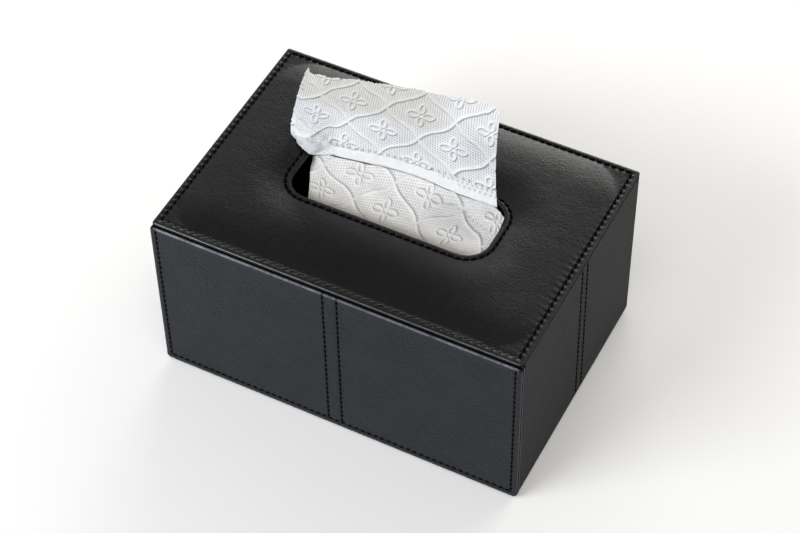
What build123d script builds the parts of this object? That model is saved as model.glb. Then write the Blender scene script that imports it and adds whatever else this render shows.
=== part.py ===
from build123d import *
import math
import os

os.makedirs("parts", exist_ok=True)

# ---------------------------------------------------------------- driving sizes (mm)
# Frame: +X to the right along the drawer front, -Y out of the drawer front, +Z up,
# origin under the middle of the whole object, on the surface it stands on.
W = 230.0             # sleeve width over the leather
Y_BACK = 80.2         # back face of the sleeve
Y_FRONT = -80.2       # face of the drawer front
Y_LID_FRONT = -78.5   # front edge of the lid panel
Z_LID = 120.2         # flat border of the lid panel

T_LEATHER = 0.55
T_WALL = 2.8
T_LINING = 0.5

# base
Z_FELT = 0.4          # felt 0 .. 0.4
Z_SEAT = 1.6          # base plate 0.4 .. 1.6, walls start here
BASE_INSET = 1.2
T_FLOOR = 2.8

# lid panel
Z_BOARD_LO = 118.25
Z_BOARD_HI = Z_LID - T_LEATHER
Z_UNDER = 117.95      # underside of the turned-under leather
SWELL = 2.2           # height of the padded swell over the border
EDGE_R = 0.8

# slot
SLOT_X = 62.0         # half length
SLOT_Y = 22.2         # half width
SLOT_R = 14.0
T_FACING = 0.6

# sleeve walls
Y_WALL_FRONT = -75.8  # front ends of the side walls, over the leather
Z_WALL_TOP = 117.65   # top edge of the wall leather, a 0.3 groove under the lid panel

# drawer front
FRONT_W = 231.6
FRONT_Z0 = 2.0
FRONT_Z1 = 117.6
FRONT_Y_IN = -76.2
FRONT_R_LOW = 3.0
FRONT_R_TOP = 1.4

# tray
SIDE_CLEAR = 1.0
TRAY_Y_BACK = 74.8
TRAY_Z0 = 6.0
T_TRAY_BASE = 2.4
TRAY_Z1 = 66.0
TRAY_LINING = 0.45

# stitching
BORDER_IN = 3.8       # stitch row from the lid's side edges
BORDER_IN_FRONT = 4.0
BORDER_IN_BACK = 3.2
SLOT_STITCH = 3.5     # stitch row from the slot's edge
FRONT_STITCH = 3.8    # stitch row from the drawer front's side edges
FRONT_STITCH_LOW = 4.5
SEAM_X0, SEAM_X1 = -5.4, 3.4      # double row in the middle of the front
SIDE_Y0, SIDE_Y1 = 2.2, 10.4      # double row on the side walls
BACK_X0, BACK_X1 = -4.4, 4.4      # double row on the back wall
THREAD_W, THREAD_H = 0.6, 0.22

# tissues (sheet 133 wide, 195 long, folded in two)
STACK_X0, STACK_X1 = -58.0, 75.0
STACK_Y = 48.5
STACK_Z0, STACK_Z1 = 9.2, 84.0

OX = W / 2                        # 115.0
BX = OX - T_LEATHER               # wall board outer face
IX = BX - T_WALL                  # wall board inner face
LX = IX - T_LINING                # lining face
BY = Y_BACK - T_LEATHER
IY = BY - T_WALL
LY = IY - T_LINING


def rounded(x0, x1, y0, y1, r):
    """A rounded rectangle between two corners, in the current sketch."""
    with Locations(((x0 + x1) / 2, (y0 + y1) / 2)):
        RectangleRounded(x1 - x0, y1 - y0, r)


def slot_outline(grow, mode=Mode.ADD):
    RectangleRounded(2 * (SLOT_X + grow), 2 * (SLOT_Y + grow), SLOT_R + grow, mode=mode)


def save(builder, name):
    builder.part.label = name
    export_step(builder.part, f"parts/{name}.step")


# ================================================================ sleeve: base
with BuildPart() as base_felt:
    with BuildSketch(Plane.XY):
        rounded(-OX + 3.6, OX - 3.6, -78.1, Y_BACK - 3.6, 3.0)
    extrude(amount=Z_FELT)
save(base_felt, "base_felt")

with BuildPart() as base_plate:
    with BuildSketch(Plane.XY.offset(Z_FELT)):
        rounded(-OX + BASE_INSET, OX - BASE_INSET, -79.0, Y_BACK - BASE_INSET, 3.0)
    extrude(amount=Z_SEAT - Z_FELT)
    chamfer(base_plate.faces().sort_by(Axis.Z)[0].outer_wire().edges(), 0.25)
save(base_plate, "base_plate")

with BuildPart() as floor_board:
    with BuildSketch(Plane.XY.offset(Z_SEAT)):
        with Locations((0, (Y_WALL_FRONT + T_LEATHER + IY) / 2)):
            Rectangle(2 * IX, IY - (Y_WALL_FRONT + T_LEATHER))
    extrude(amount=T_FLOOR)
save(floor_board, "floor_board")
Z_FLOOR = Z_SEAT + T_FLOOR

with BuildPart() as floor_lining:
    with BuildSketch(Plane.XY.offset(Z_FLOOR)):
        with Locations((0, (Y_WALL_FRONT + T_LEATHER + LY) / 2)):
            Rectangle(2 * LX, LY - (Y_WALL_FRONT + T_LEATHER))
    extrude(amount=T_LINING)
save(floor_lining, "floor_lining")

# ================================================================ sleeve: walls
Y_BOARD_FRONT = Y_WALL_FRONT + T_LEATHER

with BuildPart() as left_wall_board:
    with BuildSketch(Plane.XY.offset(Z_SEAT)):
        with Locations(((-BX - IX) / 2, (Y_BOARD_FRONT + IY) / 2)):
            Rectangle(T_WALL, IY - Y_BOARD_FRONT)
    extrude(amount=Z_BOARD_LO - Z_SEAT)
save(left_wall_board, "left_wall_board")

with BuildPart() as right_wall_board:
    with BuildSketch(Plane.XY.offset(Z_SEAT)):
        with Locations(((BX + IX) / 2, (Y_BOARD_FRONT + IY) / 2)):
            Rectangle(T_WALL, IY - Y_BOARD_FRONT)
    extrude(amount=Z_BOARD_LO - Z_SEAT)
save(right_wall_board, "right_wall_board")

# the back board runs behind both side boards
with BuildPart() as back_wall_board:
    with BuildSketch(Plane.XY.offset(Z_SEAT)):
        with Locations((0, (IY + BY) / 2)):
            Rectangle(2 * BX, T_WALL)
    extrude(amount=Z_BOARD_LO - Z_SEAT)
    fillet(back_wall_board.edges().filter_by(Axis.Z).group_by(Axis.Y)[-1], 0.9)
save(back_wall_board, "back_wall_board")

# one leather wrap round left, back and right, turned over the side boards' front ends
with BuildPart() as wall_cover:
    with BuildSketch(Plane.XY.offset(Z_SEAT)) as wrap:
        with BuildLine():
            Polyline(
                (-OX, Y_WALL_FRONT), (-OX, Y_BACK), (OX, Y_BACK), (OX, Y_WALL_FRONT),
                (LX, Y_WALL_FRONT), (LX, Y_BOARD_FRONT), (BX, Y_BOARD_FRONT), (BX, BY),
                (-BX, BY), (-BX, Y_BOARD_FRONT), (-LX, Y_BOARD_FRONT), (-LX, Y_WALL_FRONT),
                close=True,
            )
        make_face()
        fillet([v for v in wrap.vertices() if abs(abs(v.X) - OX) < 1e-6 and abs(v.Y - Y_BACK) < 1e-6], 1.5)
        fillet([v for v in wrap.vertices() if abs(abs(v.X) - BX) < 1e-6 and abs(v.Y - BY) < 1e-6], 0.9)
        fillet([v for v in wrap.vertices() if abs(abs(v.X) - OX) < 1e-6 and abs(v.Y - Y_WALL_FRONT) < 1e-6], 0.45)
    extrude(amount=Z_WALL_TOP - Z_SEAT)
save(wall_cover, "wall_cover")

with BuildPart() as wall_lining:
    with BuildSketch(Plane.XY.offset(Z_FLOOR)):
        with BuildLine():
            Polyline(
                (-IX, Y_BOARD_FRONT), (-IX, IY), (IX, IY), (IX, Y_BOARD_FRONT),
                (LX, Y_BOARD_FRONT), (LX, LY), (-LX, LY), (-LX, Y_BOARD_FRONT),
                close=True,
            )
        make_face()
    extrude(amount=Z_BOARD_LO - Z_FLOOR)
save(wall_lining, "wall_lining")

# ================================================================ lid panel
with BuildPart() as top_board:
    with BuildSketch(Plane.XY.offset(Z_BOARD_LO)):
        rounded(-BX, BX, Y_LID_FRONT + T_LEATHER, BY, 0.9)
        slot_outline(T_FACING, mode=Mode.SUBTRACT)
    extrude(amount=Z_BOARD_HI - Z_BOARD_LO)
save(top_board, "top_board")

with BuildPart() as top_lining:
    with BuildSketch(Plane.XY.offset(Z_BOARD_LO - T_LINING)):
        with Locations((0, (Y_BOARD_FRONT + LY) / 2)):
            Rectangle(2 * LX, LY - Y_BOARD_FRONT)
        slot_outline(T_FACING, mode=Mode.SUBTRACT)
    extrude(amount=T_LINING)
save(top_lining, "top_lining")

# rings that bound the padded swell: outer foot, outer crown, inner foot, inner crown
EX0, EY0F, EY0B = OX - 4.8, Y_LID_FRONT + 5.0, Y_BACK - 4.2
RISE = 5.0


def swell_block(z0, z1, inset):
    """Frustum ring over the border: outer loft less the inner loft round the slot."""
    with BuildPart(mode=Mode.PRIVATE) as block:
        with BuildSketch(Plane.XY.offset(z0)):
            rounded(-EX0 + inset, EX0 - inset, EY0F + inset, EY0B - inset, 3.0)
        with BuildSketch(Plane.XY.offset(z1)):
            k = inset + RISE
            rounded(-EX0 + k, EX0 - k, EY0F + k, EY0B - k, 6.0)
        loft()
        with BuildSketch(Plane.XY.offset(z0)):
            slot_outline(5.3 + inset)
        with BuildSketch(Plane.XY.offset(z1)):
            slot_outline(9.3 + inset)
        loft(mode=Mode.SUBTRACT)
    return block.part


pad_solid = swell_block(Z_BOARD_HI, Z_LID + SWELL - T_LEATHER, 0.5)
swell_solid = swell_block(Z_LID, Z_LID + SWELL, 0.0)

with BuildPart() as top_pad:
    add(pad_solid)
save(top_pad, "top_pad")

with BuildPart() as top_cover:
    # plate of leather with the skirt round the board and the strip turned under in front
    with BuildSketch(Plane.XY.offset(Z_UNDER)):
        rounded(-OX, OX, Y_LID_FRONT, Y_BACK, 1.5)
    extrude(amount=Z_LID - Z_UNDER)
    fillet(top_cover.faces().sort_by(Axis.Z)[-1].outer_wire().edges(), EDGE_R)
    with BuildSketch(Plane.XY.offset(Z_BOARD_LO)):
        rounded(-BX, BX, Y_LID_FRONT + T_LEATHER, BY, 0.9)
    extrude(amount=Z_BOARD_HI - Z_BOARD_LO, mode=Mode.SUBTRACT)
    with BuildSketch(Plane.XY.offset(Z_UNDER)):
        with Locations((0, (FRONT_Y_IN - 0.2 + BY) / 2)):
            Rectangle(2 * BX, BY - (FRONT_Y_IN - 0.2))
    extrude(amount=Z_BOARD_LO - Z_UNDER, mode=Mode.SUBTRACT)
    with BuildSketch(Plane.XY.offset(Z_BOARD_HI - 0.05)):
        slot_outline(0.0)
    extrude(amount=2.0, mode=Mode.SUBTRACT)
    add(swell_solid)
    add(pad_solid, mode=Mode.SUBTRACT)
save(top_cover, "top_cover")

with BuildPart() as slot_facing:
    with BuildSketch(Plane.XY.offset(Z_BOARD_LO - T_LINING)):
        slot_outline(T_FACING)
        slot_outline(0.0, mode=Mode.SUBTRACT)
    extrude(amount=Z_BOARD_HI - (Z_BOARD_LO - T_LINING))
save(slot_facing, "slot_facing")

# ================================================================ sleeve: thread
with BuildPart() as top_border_thread:
    with BuildSketch(Plane.XY.offset(Z_LID)):
        h = THREAD_W / 2
        rx, ry0, ry1 = OX - BORDER_IN, Y_LID_FRONT + BORDER_IN_FRONT, Y_BACK - BORDER_IN_BACK
        rounded(-rx - h, rx + h, ry0 - h, ry1 + h, 1.6)
        with Locations((0, (ry0 + ry1) / 2)):
            RectangleRounded(2 * (rx - h), ry1 - ry0 - 2 * h, 1.0, mode=Mode.SUBTRACT)
    extrude(amount=THREAD_H)
save(top_border_thread, "top_border_thread")

with BuildPart() as slot_thread:
    with BuildSketch(Plane.XY.offset(Z_LID)):
        slot_outline(SLOT_STITCH + THREAD_W / 2)
        slot_outline(SLOT_STITCH - THREAD_W / 2, mode=Mode.SUBTRACT)
    extrude(amount=THREAD_H)
save(slot_thread, "slot_thread")

Z_S0, Z_S1 = 4.0, 115.4
with BuildPart() as left_seam_thread:
    with BuildSketch(Plane.YZ.offset(-OX)):
        for y in (SIDE_Y0, SIDE_Y1):
            with Locations((y, (Z_S0 + Z_S1) / 2)):
                Rectangle(THREAD_W, Z_S1 - Z_S0)
    extrude(amount=-THREAD_H)
save(left_seam_thread, "left_seam_thread")

with BuildPart() as right_seam_thread:
    with BuildSketch(Plane.YZ.offset(OX)):
        for y in (SIDE_Y0, SIDE_Y1):
            with Locations((y, (Z_S0 + Z_S1) / 2)):
                Rectangle(THREAD_W, Z_S1 - Z_S0)
    extrude(amount=THREAD_H)
save(right_seam_thread, "right_seam_thread")

with BuildPart() as back_seam_thread:
    with BuildSketch(Plane.XZ.offset(-Y_BACK)):
        for x in (BACK_X0, BACK_X1):
            with Locations((x, (Z_S0 + Z_S1) / 2)):
                Rectangle(THREAD_W, Z_S1 - Z_S0)
    extrude(amount=-THREAD_H)
save(back_seam_thread, "back_seam_thread")

# ================================================================ drawer front
FX = FRONT_W / 2


def front_outline(inset):
    """Front board outline: larger radii at the foot, small ones at the top."""
    x, z0, z1 = FX - inset, FRONT_Z0 + inset, FRONT_Z1 - inset
    with BuildSketch(Plane.XY, mode=Mode.PRIVATE) as outline:
        with BuildLine():
            Polyline((-x, z0), (x, z0), (x, z1), (-x, z1), close=True)
        make_face()
        fillet(outline.vertices().sort_by(Axis.Y)[:2], max(FRONT_R_LOW - inset, 0.4))
        fillet(outline.vertices().sort_by(Axis.Y)[-2:], max(FRONT_R_TOP - inset, 0.4))
    return outline.sketch_local


Y_FB0 = Y_FRONT + T_LEATHER          # board front
Y_FB1 = FRONT_Y_IN - 0.4             # board back
FLANGE = 10.0                        # leather turned over the board's inner face

with BuildPart() as drawer_front_board:
    with BuildSketch(Plane.XZ.offset(-Y_FB1)):
        add(front_outline(T_LEATHER))
    extrude(amount=Y_FB1 - Y_FB0)
save(drawer_front_board, "drawer_front_board")

with BuildPart() as drawer_front_cover:
    with BuildSketch(Plane.XZ.offset(-FRONT_Y_IN)):
        add(front_outline(0.0))
    extrude(amount=FRONT_Y_IN - Y_FRONT)
    fillet(drawer_front_cover.faces().sort_by(Axis.Y)[0].outer_wire().edges(), 0.9)
    with BuildSketch(Plane.XZ.offset(-Y_FB1)):
        add(front_outline(T_LEATHER))
    extrude(amount=Y_FB1 - Y_FB0, mode=Mode.SUBTRACT)
    with BuildSketch(Plane.XZ.offset(-FRONT_Y_IN)):
        add(front_outline(T_LEATHER + FLANGE))
    extrude(amount=FRONT_Y_IN - Y_FB1, mode=Mode.SUBTRACT)
save(drawer_front_cover, "drawer_front_cover")

with BuildPart() as drawer_front_lining:
    with BuildSketch(Plane.XZ.offset(-FRONT_Y_IN)):
        add(front_outline(T_LEATHER + FLANGE))
    extrude(amount=FRONT_Y_IN - Y_FB1)
save(drawer_front_lining, "drawer_front_lining")

# stitches along the left, bottom and right borders, open along the top
with BuildPart() as drawer_border_thread:
    with BuildSketch(Plane.XZ.offset(-Y_FRONT)):
        xo, zo, ro = FX - FRONT_STITCH + THREAD_W / 2, FRONT_Z0 + FRONT_STITCH_LOW - THREAD_W / 2, 3.0
        xi, zi, ri = xo - THREAD_W, zo + THREAD_W, 2.4
        zt = FRONT_Z1 - 1.4
        with BuildLine():
            FilletPolyline((-xo, zt), (-xo, zo), (xo, zo), (xo, zt), radius=ro)
            Line((xo, zt), (xi, zt))
            FilletPolyline((xi, zt), (xi, zi), (-xi, zi), (-xi, zt), radius=ri)
            Line((-xi, zt), (-xo, zt))
        make_face()
    extrude(amount=THREAD_H)
save(drawer_border_thread, "drawer_border_thread")

with BuildPart() as drawer_seam_thread:
    with BuildSketch(Plane.XZ.offset(-Y_FRONT)):
        z0, z1 = FRONT_Z0 + FRONT_STITCH_LOW + 1.2, FRONT_Z1 - 1.4
        for x in (SEAM_X0, SEAM_X1):
            with Locations((x, (z0 + z1) / 2)):
                Rectangle(THREAD_W, z1 - z0)
    extrude(amount=THREAD_H)
save(drawer_seam_thread, "drawer_seam_thread")

# ================================================================ tray
TX = LX - SIDE_CLEAR                 # outer face of the tray sides
TXI = TX - T_WALL                    # inner face
TYI = TRAY_Y_BACK - T_WALL

with BuildPart() as drawer_base_board:
    with BuildSketch(Plane.XY.offset(TRAY_Z0)):
        with Locations((0, (FRONT_Y_IN + TYI) / 2)):
            Rectangle(2 * TXI, TYI - FRONT_Y_IN)
    extrude(amount=T_TRAY_BASE)
save(drawer_base_board, "drawer_base_board")

with BuildPart() as drawer_left_side:
    with BuildSketch(Plane.XY.offset(TRAY_Z0)):
        with Locations(((-TX - TXI) / 2, (FRONT_Y_IN + TYI) / 2)):
            Rectangle(T_WALL, TYI - FRONT_Y_IN)
    extrude(amount=TRAY_Z1 - TRAY_Z0)
save(drawer_left_side, "drawer_left_side")

with BuildPart() as drawer_right_side:
    with BuildSketch(Plane.XY.offset(TRAY_Z0)):
        with Locations(((TX + TXI) / 2, (FRONT_Y_IN + TYI) / 2)):
            Rectangle(T_WALL, TYI - FRONT_Y_IN)
    extrude(amount=TRAY_Z1 - TRAY_Z0)
save(drawer_right_side, "drawer_right_side")

with BuildPart() as drawer_back_wall:
    with BuildSketch(Plane.XY.offset(TRAY_Z0)):
        with Locations((0, (TYI + TRAY_Y_BACK) / 2)):
            Rectangle(2 * TX, T_WALL)
    extrude(amount=TRAY_Z1 - TRAY_Z0)
    fillet(drawer_back_wall.edges().filter_by(Axis.Z).group_by(Axis.Y)[-1], 0.8)
save(drawer_back_wall, "drawer_back_wall")

TZF = TRAY_Z0 + T_TRAY_BASE
with BuildPart() as drawer_floor_lining:
    with BuildSketch(Plane.XY.offset(TZF)):
        with Locations((0, (FRONT_Y_IN + TYI) / 2)):
            Rectangle(2 * (TXI - TRAY_LINING), TYI - TRAY_LINING - FRONT_Y_IN - TRAY_LINING)
    extrude(amount=TRAY_LINING)
save(drawer_floor_lining, "drawer_floor_lining")

# lining of the tray's side and back faces, folded over their top edges
with BuildPart() as drawer_wall_lining:
    with BuildSketch(Plane.XY.offset(TZF)):
        with BuildLine():
            xa, xb, ya, yb = TXI, TXI - TRAY_LINING, TYI, TYI - TRAY_LINING
            Polyline((-xa, FRONT_Y_IN), (-xa, ya), (xa, ya), (xa, FRONT_Y_IN),
                     (xb, FRONT_Y_IN), (xb, yb), (-xb, yb), (-xb, FRONT_Y_IN), close=True)
        make_face()
    extrude(amount=TRAY_Z1 - TZF)
    with BuildSketch(Plane.XY.offset(TRAY_Z1)):
        with BuildLine():
            xa, ya = TX, TRAY_Y_BACK
            Polyline((-xa, FRONT_Y_IN), (-xa, ya), (xa, ya), (xa, FRONT_Y_IN),
                     (xb, FRONT_Y_IN), (xb, yb), (-xb, yb), (-xb, FRONT_Y_IN), close=True)
        make_face()
    extrude(amount=TRAY_LINING)
save(drawer_wall_lining, "drawer_wall_lining")

with BuildPart() as drawer_glide_felts:
    with BuildSketch(Plane.XY.offset(TRAY_Z0)):
        for x in (-TXI + 12.0, TXI - 12.0):
            with Locations((x, 0)):
                Rectangle(10.0, 138.0)
    extrude(amount=-(TRAY_Z0 - Z_FLOOR - T_LINING - 0.3))
save(drawer_glide_felts, "drawer_glide_felts")

# ================================================================ tissues
with BuildPart() as tissue_stack:
    with BuildSketch(Plane.XY.offset(STACK_Z0)):
        rounded(STACK_X0, STACK_X1, -STACK_Y, STACK_Y, 2.0)
    extrude(amount=STACK_Z1 - STACK_Z0)
    fillet(tissue_stack.faces().sort_by(Axis.Z)[-1].outer_wire().edges(), 2.0)
save(tissue_stack, "tissue_stack")

# next sheet: comes up behind the slot's front edge and lies back under the slot
with BuildPart() as tissue_next_sheet:
    with BuildSketch(Plane.YZ.offset(-50.0)):
        with BuildLine():
            Polyline(
                (-19.0, 88.0), (-23.0, 104.5), (-11.0, 110.2), (6.0, 111.6), (17.2, 112.6),
                (17.2, 113.8), (5.8, 112.8), (-11.6, 111.5), (-24.4, 105.4), (-20.2, 88.0),
                close=True,
            )
        make_face()
    extrude(amount=108.0)
save(tissue_next_sheet, "tissue_next_sheet")

# pop-up sheet: straight tail in the slot, then a panel that leans back over the lid
LEAN = 14.0
POP_Y, POP_T, POP_Z = 19.4, 1.2, 121.2
with BuildPart() as tissue_popup_sheet:
    with BuildSketch(Plane.XZ.offset(-(POP_Y + POP_T / 2))):
        with Locations((6.0, (88.0 + POP_Z + 2.0) / 2)):
            Rectangle(96.0, POP_Z + 2.0 - 88.0)
    extrude(amount=POP_T)
    a = math.radians(LEAN)
    lean_plane = Plane(origin=(0, POP_Y + POP_T / 2, POP_Z), x_dir=(1, 0, 0),
                       z_dir=(0, -math.cos(a), math.sin(a)))
    with BuildSketch(lean_plane):
        with BuildLine():
            Polyline((-42, 0), (-74, 3.4), (-78, 14), (-79, 38.5), (-56, 40.5), (-3, 52.5),
                     (48, 61), (51, 30), (54, 10), (54, 0), close=True)
        make_face()
    extrude(amount=POP_T)
save(tissue_popup_sheet, "tissue_popup_sheet")
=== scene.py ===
import bpy
import math
import numpy as np
from mathutils import Matrix


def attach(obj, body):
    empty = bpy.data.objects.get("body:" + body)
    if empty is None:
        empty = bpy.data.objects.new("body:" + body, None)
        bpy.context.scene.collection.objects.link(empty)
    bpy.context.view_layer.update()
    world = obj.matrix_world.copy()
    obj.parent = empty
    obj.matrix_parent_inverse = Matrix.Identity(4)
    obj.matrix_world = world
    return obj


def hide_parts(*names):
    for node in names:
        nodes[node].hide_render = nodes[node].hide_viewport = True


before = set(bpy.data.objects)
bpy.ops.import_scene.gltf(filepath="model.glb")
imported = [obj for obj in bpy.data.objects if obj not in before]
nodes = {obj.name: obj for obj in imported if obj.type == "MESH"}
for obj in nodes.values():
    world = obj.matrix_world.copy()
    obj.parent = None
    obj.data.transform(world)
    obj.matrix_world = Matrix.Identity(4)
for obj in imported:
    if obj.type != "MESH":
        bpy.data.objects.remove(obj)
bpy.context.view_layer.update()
MM = 0.001
scene = bpy.context.scene

# ------------------------------------------------------------------ sizes, mm, as in the CAD model
OX, Y_BACK, Y_FRONT, Y_LID_FRONT, Z_LID = 115.0, 80.2, -80.2, -78.5, 120.2
SLOT_X, SLOT_Y, SLOT_R = 62.0, 22.2, 14.0
Z_UNDER, Z_BOARD_LO, Z_BOARD_HI = 117.95, 118.25, 119.65
ROW_X, ROW_Y0, ROW_Y1 = 111.2, -74.5, 77.0          # lid border stitch row
SLOT_ROW = 3.5                                     # slot stitch row, out from the slot's edge
FX, FZ0, FZ1, FY_IN = 115.8, 2.0, 117.6, -76.2       # drawer front
LX = 111.15                                        # lining face
Y_WALL_FRONT, Z_SEAT, Z_WALL_TOP = -75.8, 1.6, 117.65


# ================================================================== numpy helpers
def smooth01(t):
    t = np.clip(t, 0.0, 1.0)
    return t * t * (3 - 2 * t)


def gauss(x, s):
    return np.exp(-0.5 * (np.asarray(x, float) / s) ** 2)


def sd_rr(x, y, cx, cy, a, b, r):
    """Signed distance to a rounded rectangle, positive outside."""
    qx, qy = np.abs(x - cx) - (a - r), np.abs(y - cy) - (b - r)
    return np.hypot(np.maximum(qx, 0), np.maximum(qy, 0)) + np.minimum(np.maximum(qx, qy), 0) - r


_perm = np.random.default_rng(11).random((64, 64)) * 2 - 1


def vnoise(x, y, scale=1.0, seed=0):
    """Smooth value noise in -1..1."""
    x = np.asarray(x, float) / scale + 17.3 * seed + 100.0
    y = np.asarray(y, float) / scale - 9.7 * seed + 100.0
    xi, yi = np.floor(x).astype(int), np.floor(y).astype(int)
    fx, fy = smooth01(x - xi), smooth01(y - yi)
    p = lambda i, j: _perm[i % 64, j % 64]
    a = p(xi, yi) * (1 - fx) + p(xi + 1, yi) * fx
    b = p(xi, yi + 1) * (1 - fx) + p(xi + 1, yi + 1) * fx
    return a * (1 - fy) + b * fy


def fbm(x, y, scale, octaves=3, seed=0):
    out, amp, total = 0.0, 1.0, 0.0
    for k in range(octaves):
        out = out + amp * vnoise(x, y, scale / 2 ** k, seed + k)
        total += amp
        amp *= 0.5
    return out / total


def grid_faces(nu, nv, wrap_u=False, wrap_v=False, flip=False, base=0):
    u = np.arange(nu if wrap_u else nu - 1)
    v = np.arange(nv if wrap_v else nv - 1)
    uu, vv = np.meshgrid(u, v, indexing="ij")
    u1, v1 = (uu + 1) % nu, (vv + 1) % nv
    f = np.stack([uu * nv + vv, u1 * nv + vv, u1 * nv + v1, uu * nv + v1], -1).reshape(-1, 4)
    return (f[:, ::-1] if flip else f) + base


def grid_normals(p, wrap_u=False):
    if wrap_u:
        du = np.roll(p, -1, 0) - np.roll(p, 1, 0)
    else:
        du = np.gradient(p, axis=0)
    dv = np.gradient(p, axis=1)
    n = np.cross(du, dv)
    return n / np.maximum(np.linalg.norm(n, axis=-1, keepdims=True), 1e-12)


def mesh_object(name, verts, faces, body, mat, attrs=None, uv=None, smooth=True):
    v, f = np.asarray(verts, float).reshape(-1, 3) * MM, np.asarray(faces, np.int32)
    me = bpy.data.meshes.new(name)
    me.vertices.add(len(v))
    me.vertices.foreach_set("co", v.astype(np.float32).ravel())
    me.loops.add(f.size)
    me.loops.foreach_set("vertex_index", f.ravel())
    me.polygons.add(len(f))
    me.polygons.foreach_set("loop_start", np.arange(0, f.size, f.shape[1], dtype=np.int32))
    me.polygons.foreach_set("use_smooth", np.full(len(f), smooth))
    me.update(calc_edges=True)
    for key, value in (attrs or {}).items():
        a = me.attributes.new(key, "FLOAT", "POINT")
        a.data.foreach_set("value", np.asarray(value, np.float32).ravel())
    if uv is not None:
        layer = me.uv_layers.new(name="UVMap")
        layer.data.foreach_set("uv", np.asarray(uv, np.float32).reshape(-1, 2)[f.ravel()].ravel())
    me.validate()
    o = bpy.data.objects.new(name, me)
    scene.collection.objects.link(o)
    me.materials.append(mat)
    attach(o, body)
    return o


def closed_shell(outer, inner, nu, nv, wrap_u):
    """Vertices and faces of a skin between two grids of nu x nv points, closed at its rims."""
    v = np.concatenate([outer.reshape(-1, 3), inner.reshape(-1, 3)])
    b = nu * nv
    faces = [grid_faces(nu, nv, wrap_u), grid_faces(nu, nv, wrap_u, flip=True, base=b)]
    i = np.arange(nu if wrap_u else nu - 1)
    j = (i + 1) % nu
    faces.append(np.stack([i * nv, b + i * nv, b + j * nv, j * nv], -1))
    e = nv - 1
    faces.append(np.stack([i * nv + e, j * nv + e, b + j * nv + e, b + i * nv + e], -1))
    if not wrap_u:
        k = np.arange(nv - 1)
        faces.append(np.stack([k, k + 1, b + k + 1, b + k], -1))
        t = (nu - 1) * nv
        faces.append(np.stack([t + k, b + t + k, b + t + k + 1, t + k + 1], -1))
    return v, np.concatenate(faces)


# ================================================================== materials
def new_mat(name):
    m = bpy.data.materials.new(name)
    m.use_nodes = True
    return m, m.node_tree, m.node_tree.nodes["Principled BSDF"]


def node(nt, kind, **props):
    n = nt.nodes.new(kind)
    for k, v in props.items():
        if k.startswith("in_"):
            n.inputs[k[3:].replace("_", " ")].default_value = v
        else:
            setattr(n, k, v)
    return n


def ramp(nt, source, stops):
    r = nt.nodes.new("ShaderNodeValToRGB")
    while len(r.color_ramp.elements) < len(stops):
        r.color_ramp.elements.new(0.5)
    for e, (pos, col) in zip(r.color_ramp.elements, stops):
        e.position = pos
        e.color = (*col, 1) if len(col) == 3 else col
    nt.links.new(source, r.inputs[0])
    return r


def math_node(nt, op, a, b=None):
    n = nt.nodes.new("ShaderNodeMath")
    n.operation = op
    for k, x in enumerate((a, b)):
        if x is None:
            continue
        if hasattr(x, "links"):
            nt.links.new(x, n.inputs[k])
        else:
            n.inputs[k].default_value = x
    return n.outputs[0]


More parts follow.
